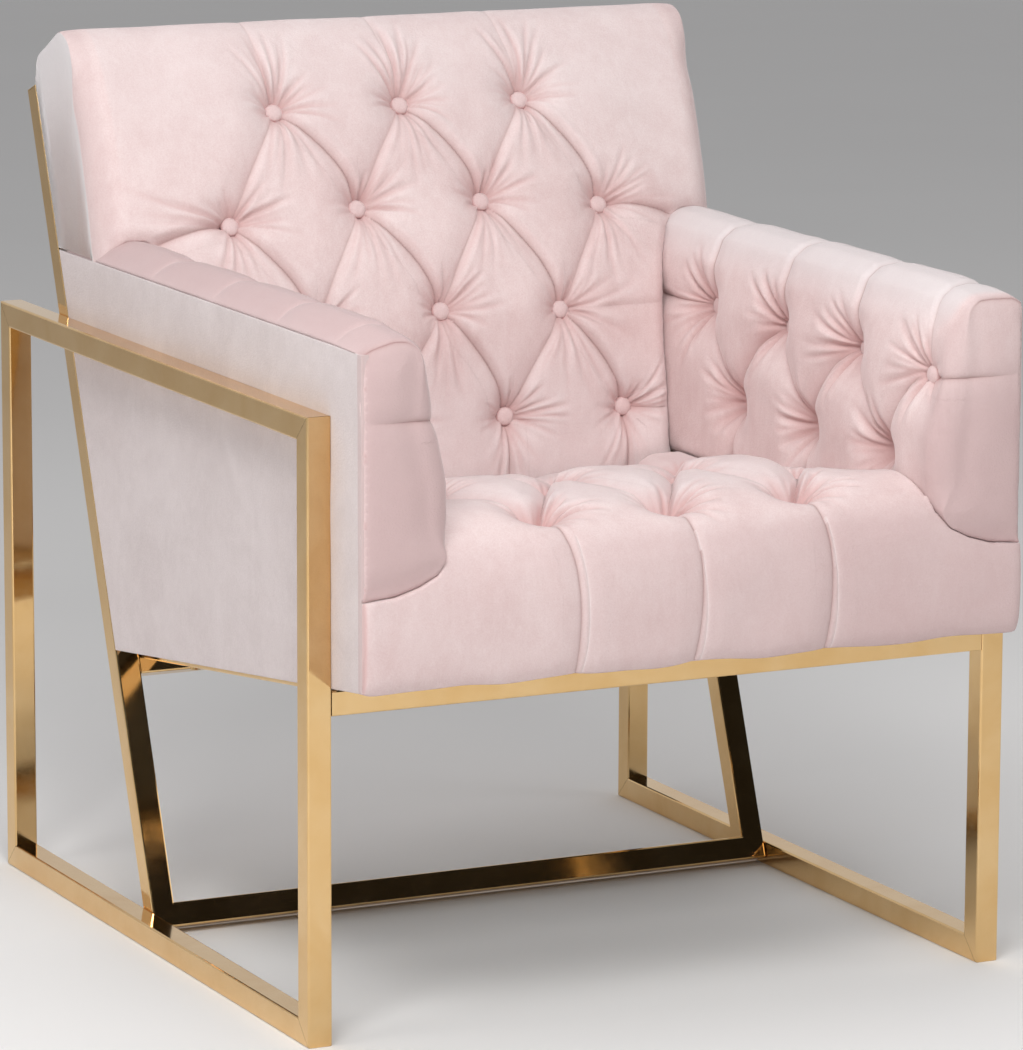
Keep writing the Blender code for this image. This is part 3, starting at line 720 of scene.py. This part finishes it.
def seat_tufts(at):
    tufts = Tufting(8)
    for y, steps in SEAT_ROWS:
        for step in steps:
            here = at(step * SEAT_PITCH, y)
            tufts.pit(here, 0.0300, 0.056)
            tufts.fans(here, *SEAT_FANS)
    for (y, steps), (y2, steps2) in zip(SEAT_ROWS, SEAT_ROWS[1:]):
        for step in steps:
            for step2 in steps2:
                if abs(step2 - step) < 1:
                    right = step2 > step
                    tufts.pleat(
                        at(step * SEAT_PITCH, y), at(step2 * SEAT_PITCH, y2), bow=-0.003 if right else 0.003,
                        middle=0.0125, reach=0.044, fold=0.0060, roll=-1 if right else 1, steep=0.65,
                    )
    front = SEAT_ROWS[0][0]
    for step, lean in ((-1, 0.007), (0, -0.005), (1, -0.002)):
        x = step * SEAT_PITCH
        tufts.pleat(
            at(x, front), (x + lean, 0.0), bow=0.005, peak=0.6, middle=0.0030, reach=0.026, fold=0.0016,
            taper=(1, 0.75),
        )
        # A pale line beside each front channel as a painted highlight, over a slight fold.
        tufts.pleat(
            (x + lean + 0.0075, 0.135), (x + lean + 0.0065, 0.0), bow=0.004, peak=0.6, middle=0.0,
            fold=0.0008, roll=-1, tone=-0.6,
        )
    for sign in (-1, 1):
        for y in (SEAT_ROWS[1][0], SEAT_ROWS[3][0]):
            start = at(sign * 1.5 * SEAT_PITCH, y)
            tufts.pleat(start, at(sign * 0.262, y), middle=0.009, reach=0.036, fold=0.002)
    for step in SEAT_ROWS[3][1]:
        x = step * SEAT_PITCH
        tufts.pleat(at(x, SEAT_ROWS[3][0]), at(x, 0.479), middle=0.008, reach=0.04, fold=0.002)
    return tufts


def seat_cushion():
    profile, run = arc(SEAT_SIDE, STEP, 0.006)
    normal = -normals_2d(profile)
    y_of, z_of = profile[:, 0], profile[:, 1]
    climb = int(np.argmin(y_of)) + 1

    def at(x, y):
        return np.array((x, np.interp(y, y_of[climb:], run[climb:])))

    tufts = seat_tufts(at)
    half = BODY_X - 0.0008
    turn_x = 0.0045
    across = columns(half, turn_x, 6, 2 * half)
    x_grid, s_grid = np.meshgrid(across, run, indexing="ij")
    y_grid = np.broadcast_to(y_of, x_grid.shape)
    z_grid = np.broadcast_to(z_of, x_grid.shape)
    depth, side, tone, crease_shade = tufts.shape(x_grid, s_grid)
    depth += 0.0011 * wander(x_grid, s_grid, 0.20, 21)
    front = y_grid < -0.045
    clear_front = distance_to_curve(np.abs(x_grid), z_grid, NOSE_CURVE)
    clear_top = np.clip(WEDGE_X + 0.0012 - np.abs(x_grid), 0, 1)
    clear = np.where(front, clear_front, clear_top)
    lip = round_in(clear, np.where(front, 0.0012, 0.0080))
    edge = 0.0042 * np.exp(-(half - np.abs(x_grid)) / 0.0035) * front
    quiet = smooth(half - np.abs(x_grid), 0.0, 0.02) * smooth(clear, 0.0, 0.010)
    rear = round_in(run[-1] - s_grid, 0.014)
    inward = depth * (0.2 + 0.8 * quiet) * smooth(s_grid, -0.02, 0.02) + lip + edge + rear
    y = y_of[None] + inward * normal[:, 0][None]
    z = z_of[None] + inward * normal[:, 1][None]
    wave = 0.0010 * wander(x_grid, s_grid * 0, 0.09, 5) + 0.0012 * np.cos(2 * pi * x_grid / SEAT_PITCH)
    z = z + wave * smooth(s_grid, 0.05, 0.0)
    # The seat falls away towards the arms, though not below their lower edge.
    z = z - 0.021 * smooth(np.abs(x_grid), 0.150, 0.262) * smooth(y_grid, 0.0, 0.10)
    z = z + np.clip(0.4515 - z, 0, None) * (y_grid > 0.1) * smooth(np.abs(x_grid), 0.16, 0.235)

    nose = np.array(ARM_NOSE)[:6][::-1]
    limit = np.interp(np.abs(across), nose[:, 0], nose[:, 1])
    board_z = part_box("seat_board")[1].z + GAP
    lip_y = BOARD_FRONT_Y - GAP
    bottom = np.array((
        (0.479, 0.42), (0.479, board_z), (0.30, board_z), (0.10, board_z), (0.0, board_z), (lip_y, board_z),
        (lip_y, 0.3565), (-0.062, 0.3550),
    ))
    rings = []
    for i, x in enumerate(across):
        yi, zi = y[i].copy(), z[i].copy()
        by, bz = bottom[:, 0].copy(), bottom[:, 1].copy()
        if abs(x) > WEDGE_X + 0.0006:
            top_z = min(limit[i], 0.480) - GAP / 3
            first = int(np.argmax(z_of > top_z - 0.0006))
            deep_y = 0.30 if abs(x) < BOARD_X - 0.004 else lip_y
            lam = np.linspace(0, 1, len(run) - first + 1)[1:]
            yi[first:] = (y[i, first - 1] + 0.0008) * (1 - lam) + deep_y * lam
            shelf = min(top_z, 0.4445)
            zi[first:] = np.where(yi[first:] < lip_y, min(top_z, z[i, first - 1] + 0.0035), shelf)
            by = np.minimum(by, deep_y)
            bz = np.minimum(bz, shelf - 0.01)
        rings.append(side_ring(x, yi, zi, by, bz))
    rings = np.array(rings)
    verts, faces = tube_mesh(rings)
    # Painted sheen on the seat's top; painted shade on its front below the roll, heavier towards the right;
    # less of both in the gathers. Painted shade also where the front's ends meet the side panels.
    sheen_shade = 0.25 * smooth(y_grid, -0.03, 0.03)
    sheen_shade -= (0.30 + 0.30 * smooth(x_grid, -0.20, 0.20)) * smooth(z_grid, 0.500, 0.470) * (y_grid < 0)
    panel_seam_shade = smooth(np.abs(x_grid), half - 0.0030, half - 0.0002) * front
    shade = np.maximum(crease_shade * quiet, panel_seam_shade)
    data = sheet_data(rings, side, tone * quiet, depth * quiet, shade, sheen_shade * (1 - 0.8 * crease_shade))
    keep(add_mesh("tufted_seat", verts, faces, VELVET, data), "blush_velvet", "seat_cushion", fill=0.8)
    spots = [at(step * SEAT_PITCH, y_row) for y_row, row in SEAT_ROWS for step in row]
    set_buttons(spots, across, run, rings, normal, "seat_button_{}")


# ---- arms ----
ARM_PITCH = 0.154
UPPER_TUFTS = tuple((-0.015 + ARM_PITCH * k, 0.612) for k in range(4))
LOWER_TUFTS = tuple((0.062 + ARM_PITCH * k, 0.5175) for k in range(3))
UPPER_FANS = (
    (0.85, 0.55, 10, 0.064, 0.0040), (-0.70, 0.60, 11, 0.072, 0.0042), (0.10, 0.30, 4, 0.050, 0.0030),
    (pi, 1.1, 7, 0.030, 0.0016),
)
LOWER_FANS = (
    (0.60, 0.85, 13, 0.060, 0.0042), (-0.60, 0.50, 7, 0.052, 0.0036), (pi - 0.6, 0.45, 4, 0.030, 0.0016),
)
FRONT_TURN = 0.026
FRONT_PLEAT_Z = 0.6085


def arm_tufts(q_of, end, seed, rising):
    """The inner side of an arm: its sheet runs y towards the rear and up over the crown."""
    tufts = Tufting(seed)
    for y, z in UPPER_TUFTS:
        here = np.array((y, q_of(z)))
        tufts.pit(here, 0.0150 if y < 0 else 0.0270, 0.060)
        tufts.fans(here, *UPPER_FANS)
        # Pleats over the crown: painted shade lines on the right arm, painted highlights as pale lines on the
        # left.
        tufts.pleat(
            here, np.array((y + (0.012 if y < 0 else -0.004), end)), bow=0.007, peak=0.35, middle=0.0065,
            reach=0.036, fold=0.0032, roll=-1, taper=(0.5 if y < 0 else 1, 0.35 if rising else 0.12),
            tone=1.0 if rising else -0.8,
        )
    for y, z in LOWER_TUFTS:
        here = np.array((y, q_of(z)))
        tufts.pit(here, 0.0260, 0.054)
        tufts.fans(here, *LOWER_FANS)
        tufts.pleat(here, (y, q_of(0.46)), middle=0.010, reach=0.034, fold=0.0030, roll=-1, steep=0.6)
    for y, z in UPPER_TUFTS:
        for y2, z2 in LOWER_TUFTS:
            if abs(y2 - y) < 0.09:
                rearward = y2 > y
                bow, middle, fold = (0.012, 0.0150, 0.0040) if rearward else (-0.004, 0.0095, 0.0020)
                tone, steep = (1.0, 0.6) if rearward else (0.4, 0.9)
                tufts.pleat(
                    (y, q_of(z)), (y2, q_of(z2)), bow=bow, peak=0.42, middle=middle, reach=0.046, fold=fold,
                    taper=(0.55 if y < 0 else 1, 1), roll=-1, tone=tone, steep=steep,
                )
    y, z = UPPER_TUFTS[-1]
    tufts.pleat((y, q_of(z)), (y + 0.09, q_of(z)), middle=0.006, reach=0.03, fold=0.0024)
    return tufts


def front_groove(x, z):
    """The soft pleat across an arm's front face: its depth, and the distance above it."""
    delta = z - FRONT_PLEAT_Z - 0.03 * (np.abs(x) - 0.275)
    strength = smooth(np.abs(x), 0.352, 0.290)
    crisp = 0.0026 * strength * np.exp(-np.abs(delta) / np.where(delta > 0, 0.0022, 0.0070))
    return crisp + 0.0022 * np.clip(1 - np.abs(delta) / 0.022, 0, 1) ** 2, delta, strength


def front_shade(x, z):
    """Painted shade (rose) on the arms' fronts, lighter towards the top of the right one, where its crown's
    painted sheen begins.
    """
    return 0.45 * smooth(z, 0.56, 0.66) * (x > 0) - 0.85


def arm(side_name, sign):
    main, main_run = arc(ARM_MAIN, STEP, 0.004)
    count = len(main)
    nose_fine, nose_run = arc(ARM_NOSE, FINE, 0.003)
    share = main_run / main_run[-1]
    nose = np.stack([np.interp(share * nose_run[-1], nose_run, nose_fine[:, k]) for k in range(2)], 1)
    front_y = ARM_FRONT_Y - 0.0005
    rear_y = at_board(main[:, 1])
    turning = front_y + FRONT_TURN * (1 - np.cos(np.linspace(0, 1, 16) * pi / 2))
    stations = np.concatenate([turning, np.arange(turning[-1] + STEP, 0.46, STEP)])
    tail = np.linspace(0, 1, 62)[1:]
    inner = main[:, 0] < 0.2925
    inner[:10] = False

    def q_of(z):
        return float(np.interp(z, main[inner, 1], main_run[inner]))

    end = main_run[-1]
    tufts = arm_tufts(q_of, end, 14 if sign > 0 else 15, sign > 0)
    back_count = 26
    shelf_z = PANEL_TOP_Z + GAP
    outer_x = BODY_X - 0.0004
    rings = []
    attrs = {"pleat_side": [], "pleat_shade_highlight": [], "sunk_shade": [], "crease_shade": [], "sheen_shade": []}
    for i in range(len(stations) + len(tail)):
        in_front = i < len(stations)
        if in_front:
            y_line = np.full(count, stations[i])
            w = float(smooth(stations[i], front_y + 0.004, 0.010))
        else:
            y_line = stations[-1] + (rear_y - stations[-1]) * tail[i - len(stations)]
            w = 1.0
        section = nose * (1 - w) + main * w
        if sign > 0:
            section[:, 1] += 0.006 * smooth(section[:, 0], 0.315, 0.350) * (section[:, 1] > 0.6)
        n = normals_2d(section)
        if n[count // 3, 0] < 0:
            n = -n
        depth, side, tone, crease_shade = tufts.shape(y_line, main_run)
        depth = depth + 0.0008 * wander(y_line, main_run, 0.15, 31 + int(sign))
        ends = smooth(main_run, 0.0, 0.03) * smooth(end - main_run, -0.004, 0.012)
        near_front = smooth(y_line, front_y + 0.004, front_y + 0.030)
        depth = depth * (0.10 + 0.90 * ends) * near_front
        crease_shade = crease_shade * ends * near_front
        past = np.clip((y_line - front_y) / FRONT_TURN, 0, 1)
        on_crown = np.where(section[:, 0] > 0.304, section[:, 1] > 0.6, smooth(section[:, 1], 0.605, 0.6875))
        low_edge = smooth(section[:, 1], 0.510, 0.470)
        outer = smooth(section[:, 0], 0.338, BODY_X)
        r = FRONT_TURN * (1 - 0.83 * on_crown) * (1 - 0.97 * low_edge) * (1 - 0.45 * outer)
        inset = r * (1 - np.sqrt(np.clip(1 - (1 - past) ** 2, 0, 1)))
        # The front button's pleat runs on round the corner to the front face.
        turned = section + n * inset[:, None]
        groove, delta, strength = front_groove(turned[:, 0], turned[:, 1])
        gone = smooth(-0.010 - y_line, -0.004, 0.012) * (section[:, 0] < 0.345) * (section[:, 1] > 0.5)
        groove = groove * gone
        depth = depth + groove * np.sin(past * pi / 2)
        y_line = y_line + groove * np.cos(past * pi / 2)
        # The pleat's painted shade line follows it.
        on_pleat = (np.abs(delta) < np.abs(side)) & (gone > 0.5)
        side = np.where(on_pleat, delta, side)
        tone = np.where(on_pleat, strength, tone * ends * near_front)
        # The crown's velvet is stitched down along the top of the front face.
        stitched = smooth(section[:, 0], 0.282, 0.312) * (section[:, 1] > 0.66)
        y_line = y_line + 0.0034 * stitched * np.exp(-((past / 0.20) ** 2))
        # Painted shade as a line along the seam.
        on_seam = (stitched > 0.05) & (past < 0.5)
        side = np.where(on_seam, r - inset, side)
        tone = np.where(on_seam, stitched, tone)
        # Painted sheen (silver) on the right arm's crown and painted shade (rose) on the left one's; near the
        # front the fronts' painted shade takes over.
        crown_sheen_shade = smooth(section[:, 1], 0.640, 0.692)
        sheen_shade = 0.70 * crown_sheen_shade if sign > 0 else -0.85 * crown_sheen_shade
        shaded = smooth((y_line - front_y) / (0.060 - 0.034 * smooth(section[:, 1], 0.63, 0.68)), 1.0, 0.04)
        sheen_shade = sheen_shade * (1 - shaded) + front_shade(sign * section[:, 0], section[:, 1]) * shaded
        edge_turn = round_in(end - main_run, 0.0012) * w
        section = section + n * (depth + inset + edge_turn)[:, None]
        section[:, 0] = np.minimum(section[:, 0], BODY_X - 0.0002)
        t = np.linspace(0, 1, back_count + 2)[1:-1][:, None]
        tip = section[-1]
        if in_front and stations[i] < BOARD_FRONT_Y - GAP:
            edge_x = outer_x - round_in(np.array(stations[i] - front_y), 0.0012)
            line = between((edge_x, tip[1] - 0.001), (edge_x, section[0, 1] + 0.001), t)
        else:
            first = np.minimum(t * 3, 1.0)
            second = np.clip((t - 1 / 3) * 1.5, 0, 1)
            line = between((outer_x, shelf_z), (BOARD_X - GAP, shelf_z), first)
            line[:, 1] = shelf_z + (section[0, 1] + 0.001 - shelf_z) * second[:, 0]
        y_back = np.full(back_count, y_line[-1])
        if not in_front:
            y_back = stations[-1] + (at_board(line[:, 1]) - stations[-1]) * tail[i - len(stations)]
        loop = (
            sign * np.concatenate([section[:, 0], line[:, 0]]), np.concatenate([y_line, y_back]),
            np.concatenate([section[:, 1], line[:, 1]]),
        )
        rings.append(np.stack(loop, 1))
        known = (
            ("pleat_side", side, NO_PLEAT), ("pleat_shade_highlight", tone, 0.0), ("sunk_shade", depth, 0.0),
            ("crease_shade", crease_shade, 0.0), ("sheen_shade", sheen_shade, 0.0),
        )
        for key, values, fill in known:
            attrs[key].append(np.concatenate([values, np.full(back_count, fill)]))
    rings = np.array(rings)
    verts, faces = tube_mesh(rings, cap_first=False)
    verts, faces, extra = front_face(rings[0], verts, faces, front_y)
    data = {key: np.concatenate([np.array(attrs[key]).ravel(), extra[key]]) for key in attrs}
    piece = add_mesh(f"{side_name}_tufted_arm", verts, faces, VELVET, data)
    keep(piece, "blush_velvet", f"{side_name}_arm_pad", fill=0.75)
    facing = Vector((-sign, 0, 0))
    for k, (y, z) in enumerate(UPPER_TUFTS + LOWER_TUFTS, 1):
        i, j = nearest(stations, main_run, y, q_of(z))
        at = Vector(rings[i, j]) + facing * BUTTON_PROUD
        if k <= len(UPPER_TUFTS):
            made = button(f"{side_name}_upper_button_{k}", at, facing)
            keep(made, "velvet_buttons", f"{side_name}_arm_button_{k}")
        else:
            keep(button(f"{side_name}_lower_button_{k - len(UPPER_TUFTS)}", at, facing), "velvet_buttons")


def front_face(ring, verts, faces, front_y):
    """Closes an arm's front with a padded face, triangulated inside the ring."""
    loop = ring[:, [0, 2]]
    low, high = loop.min(0), loop.max(0)
    spacing = 0.0026
    inside = []
    for r, z in enumerate(np.arange(low[1] + spacing, high[1], spacing * 0.87)):
        for x in np.arange(low[0] + (r % 2) * spacing / 2, high[0], spacing):
            inside.append((x, z))
    inside = np.array(inside)
    dense = np.vstack([loop * (1 - f) + np.roll(loop, -1, 0) * f for f in (0.0, 0.5)])
    inside = inside[distance_to_curve(inside[:, 0], inside[:, 1], dense) > 0.0022]
    points = [Vector(p) for p in np.vstack([loop, inside]).tolist()]
    made = delaunay_2d_cdt(points, [], [list(range(len(loop)))], 1, 1e-7)
    out, triangles, origin = made[0], made[2], made[3]
    flat = np.array([tuple(p) for p in out])
    edge = distance_to_curve(flat[:, 0], flat[:, 1], dense)
    # Towards the side panel's seam it is pinched in; elsewhere it runs smoothly into the arm.
    inner = dense[np.abs(dense[:, 0]) < BODY_X - 0.006]
    to_inner = distance_to_curve(flat[:, 0], flat[:, 1], inner)
    to_panel = BODY_X - np.abs(flat[:, 0])
    swell = 0.0050 * (1 - np.exp(-to_panel / 0.0060)) * (1 - np.exp(-((to_inner / 0.018) ** 2)))
    # The face's top edge is the crown's stitched seam.
    under_crown = smooth(flat[:, 1], 0.650, 0.668) * smooth(np.abs(flat[:, 0]), 0.282, 0.312)
    swell -= 0.0034 * under_crown * np.exp(-edge / 0.0050)
    groove, delta, strength = front_groove(flat[:, 0], flat[:, 1])
    groove = groove * (edge > 1e-5)
    uneven = 0.0007 * wander(flat[:, 0], flat[:, 1], 0.11, 41) * smooth(edge, 0, 0.01)
    y = front_y - swell + groove + uneven
    number = {}
    added = []
    for k, sources in enumerate(origin):
        ring_source = [s for s in sources if s < len(loop)]
        if ring_source:
            number[k] = ring_source[0]
        else:
            number[k] = len(verts) + len(added)
            added.append(k)
    new = np.stack([flat[added, 0], y[added], flat[added, 1]], 1)
    faces = faces + [tuple(number[v] for v in triangle) for triangle in triangles]
    # Painted shade as lines along the seam and the front pleat, and at the side panel's seam; the fronts'
    # painted shade over the rest.
    on_seam = (under_crown > 0.05) & (edge < 0.015)
    side = np.where(on_seam, edge, delta)
    tone = np.where(on_seam, under_crown, np.where(np.abs(delta) < 0.012, 1.0, 0.0) * strength)
    panel_seam_shade = smooth(np.abs(flat[:, 0]), BODY_X - 0.0045, BODY_X - 0.0010)
    extra = {
        "pleat_side": side[added], "sunk_shade": groove[added], "pleat_shade_highlight": tone[added],
        "crease_shade": panel_seam_shade[added], "sheen_shade": front_shade(flat[added, 0], flat[added, 1]),
    }
    return np.vstack([verts, new]), faces, extra


def plain(count):
    """Attributes of velvet without tufting."""
    zeros = np.zeros(count)
    return {"pleat_side": zeros + NO_PLEAT, "pleat_shade_highlight": zeros, "sunk_shade": zeros, "crease_shade": zeros, "sheen_shade": zeros}


# ---- buttons ----
def button(name, at, facing):
    """A velvet-covered button: a dome with a tucked rim, drawn into tiny gathers at its edge."""
    outline = (
        (0.0, 0.0052), (0.0024, 0.0051), (0.0048, 0.0047), (0.0070, 0.0038), (0.0087, 0.0024),
        (0.0098, 0.0006), (0.0101, -0.0012), (0.0096, -0.0028), (0.0082, -0.0038), (0.0050, -0.0042),
    )
    turn = Vector((0, 0, 1)).rotation_difference(facing.normalized()).to_matrix()
    around = 40
    verts = [at + turn @ Vector((0, 0, outline[0][1]))]
    for radius, height in outline[1:]:
        for k in range(around):
            angle = 2 * pi * k / around
            pucker = 1 + 0.012 * sin(angle * 13) * smooth(radius, 0.006, 0.0095)
            out = radius * pucker
            verts.append(at + turn @ Vector((out * cos(angle), out * sin(angle), height)))
    faces = [(0, 1 + k, 1 + (k + 1) % around) for k in range(around)]
    for ring in range(len(outline) - 2):
        low, high = 1 + ring * around, 1 + (ring + 1) * around
        for k in range(around):
            k2 = (k + 1) % around
            faces.append((low + k, high + k, high + k2, low + k2))
    faces.append(tuple(1 + (len(outline) - 2) * around + k for k in range(around)))
    points = np.array([tuple(v) for v in verts])
    data = plain(len(points))
    # Painted shade on the tucked rim, darkest down in the pit.
    height = (points - np.array(at)) @ np.array(facing.normalized())
    data["crease_shade"] = smooth(height, 0.0024, 0.0002)
    return add_mesh(name, points, faces, BUTTON_VELVET, data)


# ---- flat panels ----
def panel(name, corners, outward, thick, edge, material, puff=0.001, wave_seed=1, front_edge=None):
    """A padded flat panel over four corners, its edges rolled in, closed behind."""
    a, b, c, d = (np.array(v, float) for v in corners)
    outward = np.array(outward, float)
    wide, tall = np.linalg.norm(b - a), np.linalg.norm(d - a)

    def stations(length):
        steps = edge * (1 - np.cos(np.linspace(0, pi / 2, 6)))
        middle = np.linspace(edge, length - edge, max(int(length / 0.006), 4))[1:-1]
        return np.concatenate([steps, middle, length - steps[::-1]])

    us, vs = stations(wide), stations(tall)
    u, v = np.meshgrid(us, vs, indexing="ij")
    fu, fv = (u / wide)[..., None], (v / tall)[..., None]
    flat = a * (1 - fu) * (1 - fv) + b * fu * (1 - fv) + c * fu * fv + d * (1 - fu) * fv
    near = np.minimum(np.minimum(u, wide - u), np.minimum(v, tall - v))
    wavering = np.clip(u + 0.0006 * wander(u * 0, v, 0.06, wave_seed + 3), 0, None)
    inset = np.maximum(round_in(near, edge), round_in(wavering, front_edge or edge))
    swell = puff * (1 - np.exp(-near / 0.03)) + 0.0006 * wander(u, v, 0.14, wave_seed) * smooth(near, 0, 0.02)
    front = flat + outward * (swell - inset)[..., None]
    rear = flat - outward * thick
    nu, nv = u.shape
    verts = np.vstack([front.reshape(-1, 3), rear.reshape(-1, 3)])
    faces = []
    index = np.arange(nu * nv).reshape(nu, nv)
    for sheet in (index, index + nu * nv):
        quads = np.stack([sheet[:-1, :-1], sheet[1:, :-1], sheet[1:, 1:], sheet[:-1, 1:]], -1).reshape(-1, 4)
        faces += [tuple(q) for q in quads.tolist()]
    rim = np.concatenate([index[:, 0], index[-1, 1:], index[-2::-1, -1], index[0, -2:0:-1]])
    nxt = np.roll(rim, -1)
    for p, q in zip(rim.tolist(), nxt.tolist()):
        faces.append((p, q, q + nu * nv, p + nu * nv))
    data = plain(len(verts))
    # Painted shade along the front edge, in the seam with the arm's front.
    if front_edge:
        data["crease_shade"][:u.size] = smooth(u, 0.0022, 0.0).ravel()
    return add_mesh(name, verts, faces, material, data, sharp=radians(50))


def side_panels():
    for side_name, sign in (("left", -1), ("right", 1)):
        node_mesh = nodes[f"{side_name}_side_panel"].data
        points = np.array([tuple(v.co) for v in node_mesh.vertices])
        points[:, 1] -= FRONT_Y
        yz = np.unique(np.round(points[:, 1:], 5), axis=0)
        front = yz[:, 0].min() + 0.0005
        bottom_front = yz[np.argmin(np.abs(yz[:, 0] - yz[:, 0].min()) + yz[:, 1])]
        top = yz[:, 1].max()
        rear_top = yz[np.argmax(yz[:, 0])]
        low = yz[np.argmin(yz[:, 1])]
        drop = 0.002
        x = sign * BODY_X
        corners = (
            (x, front, bottom_front[1] - drop), (x, low[0], low[1] - drop),
            (x, rear_top[0], top + 0.0004), (x, front, top + 0.0004),
        )
        made = panel(
            f"{side_name}_outer_panel", corners, (sign, 0, 0), PANEL_THICK - GAP, 0.0012, FLAT_VELVET_SHADE_SHEEN,
            puff=0.0008, wave_seed=51 + sign, front_edge=0.0024,
        )
        keep(made, "blush_velvet", f"{side_name}_side_panel", fill=0.9)


def rear_cover():
    low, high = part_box("back_cover")
    cover_y0, slope = facing_plane("back_cover", Vector((0, 1, 0)))
    thick = 0.006
    normal = Vector((0, 1, -slope)).normalized()
    corners = []
    for x, z in ((high.x, low.z + 0.004), (low.x, low.z + 0.004), (low.x, high.z), (high.x, high.z)):
        corners.append((x, cover_y0 + slope * z, z))
    made = panel("rear_cover", corners, normal, thick - GAP, 0.004, FLAT_VELVET_SHADE_SHEEN, puff=0.0, wave_seed=61)
    keep(made, "blush_velvet", "back_cover", fill=0.9)


# ---- build ----
back_cushion()
seat_cushion()
arm("left", -1)
arm("right", 1)
side_panels()
rear_cover()

FINISHES = {
    "dust_cover": DUST, "seat_board": PLYWOOD, "back_board": PLYWOOD,
    "left_arm_board": PLYWOOD, "right_arm_board": PLYWOOD,
}
for name, item in nodes.items():
    finish = ZINC if name.startswith("back_bolt") else FINISHES.get(name, GOLD)
    for slot in item.material_slots:
        slot.material = finish

# ---- floor, light and camera ----
FLOOR_REACH = 12
floor = bpy.data.objects.new("floor", bpy.data.meshes.new("floor"))
floor_corners = [(FLOOR_REACH * x, FLOOR_REACH * y, 0) for x, y in ((-1, -1), (1, -1), (1, 1), (-1, 1))]
floor.data.from_pydata(floor_corners, [], [(0, 1, 2, 3)])
floor.data.materials.append(pale_floor())
bpy.context.scene.collection.objects.link(floor)


def area_light(name, at, target, size, power):
    light = bpy.data.lights.new(name, "AREA")
    light.shape = "RECTANGLE"
    light.size, light.size_y = size
    light.energy = power
    made = bpy.data.objects.new(name, light)
    made.location = at
    made.rotation_euler = (Vector(target) - Vector(at)).to_track_quat("-Z", "Y").to_euler()
    bpy.context.scene.collection.objects.link(made)


SEAT_MIDDLE = (0, 0, 0.5)
area_light("key", (-1.3, -1.7, 2.7), SEAT_MIDDLE, (1.2, 0.9), 40)
area_light("front", (-0.8, -3.9, 3.1), SEAT_MIDDLE, (1.8, 1.0), 77)
area_light("top", (0.2, 0.4, 3.1), SEAT_MIDDLE, (2.4, 1.8), 10)
area_light("left", (-3.4, -0.6, 1.5), SEAT_MIDDLE, (1.4, 1.8), 23)
area_light("low", (-1.5, -3.4, 0.95), (0, 0, 0.55), (1.4, 0.9), 7)
area_light("right", (2.8, -1.5, 1.4), SEAT_MIDDLE, (1.2, 1.6), 8)

world = bpy.data.worlds.new("studio")
world.use_nodes = True
sky = Nodes(world.node_tree)
coordinates = sky.add("ShaderNodeTexCoord").outputs["Generated"]
heading = sky.add("ShaderNodeSeparateXYZ", {"Vector": coordinates})
# The surroundings are pale behind the chair and overhead, and dark elsewhere.
behind = sky.ramp(heading.outputs["Y"], -0.15, 0.45)
above = sky.ramp(heading.outputs["Z"], 0.60, 0.95, 0.0, 0.8)
tone = sky.mix(sky.math("MAXIMUM", behind, above), (0.015, 0.014, 0.013), (0.62, 0.62, 0.63))
background = world.node_tree.nodes["Background"]
sky.wire(background.inputs["Color"], tone)
background.inputs["Strength"].default_value = 1.0
bpy.context.scene.world = world
bpy.context.scene.view_settings.view_transform = "Standard"

# Worked out from the frame's straight edges in the photograph: yaw, tilt and roll in degrees.
CAMERA_AT = (-2.5352, -5.2161, 1.5279)
CAMERA_TURNS = ((-25.99, "Z"), (79.13, "X"), (0.22, "Z"))
CAMERA_LENS = 198.65
camera_data = bpy.data.cameras.new("camera")
camera_data.lens = CAMERA_LENS
camera_data.sensor_width = 36
camera_data.clip_end = 60
camera = bpy.data.objects.new("camera", camera_data)
camera.location = CAMERA_AT
yaw, pitch, roll = (Matrix.Rotation(radians(turn), 3, axis) for turn, axis in CAMERA_TURNS)
camera.rotation_euler = (yaw @ pitch @ roll).to_euler()
bpy.context.scene.collection.objects.link(camera)
bpy.context.scene.camera = camera
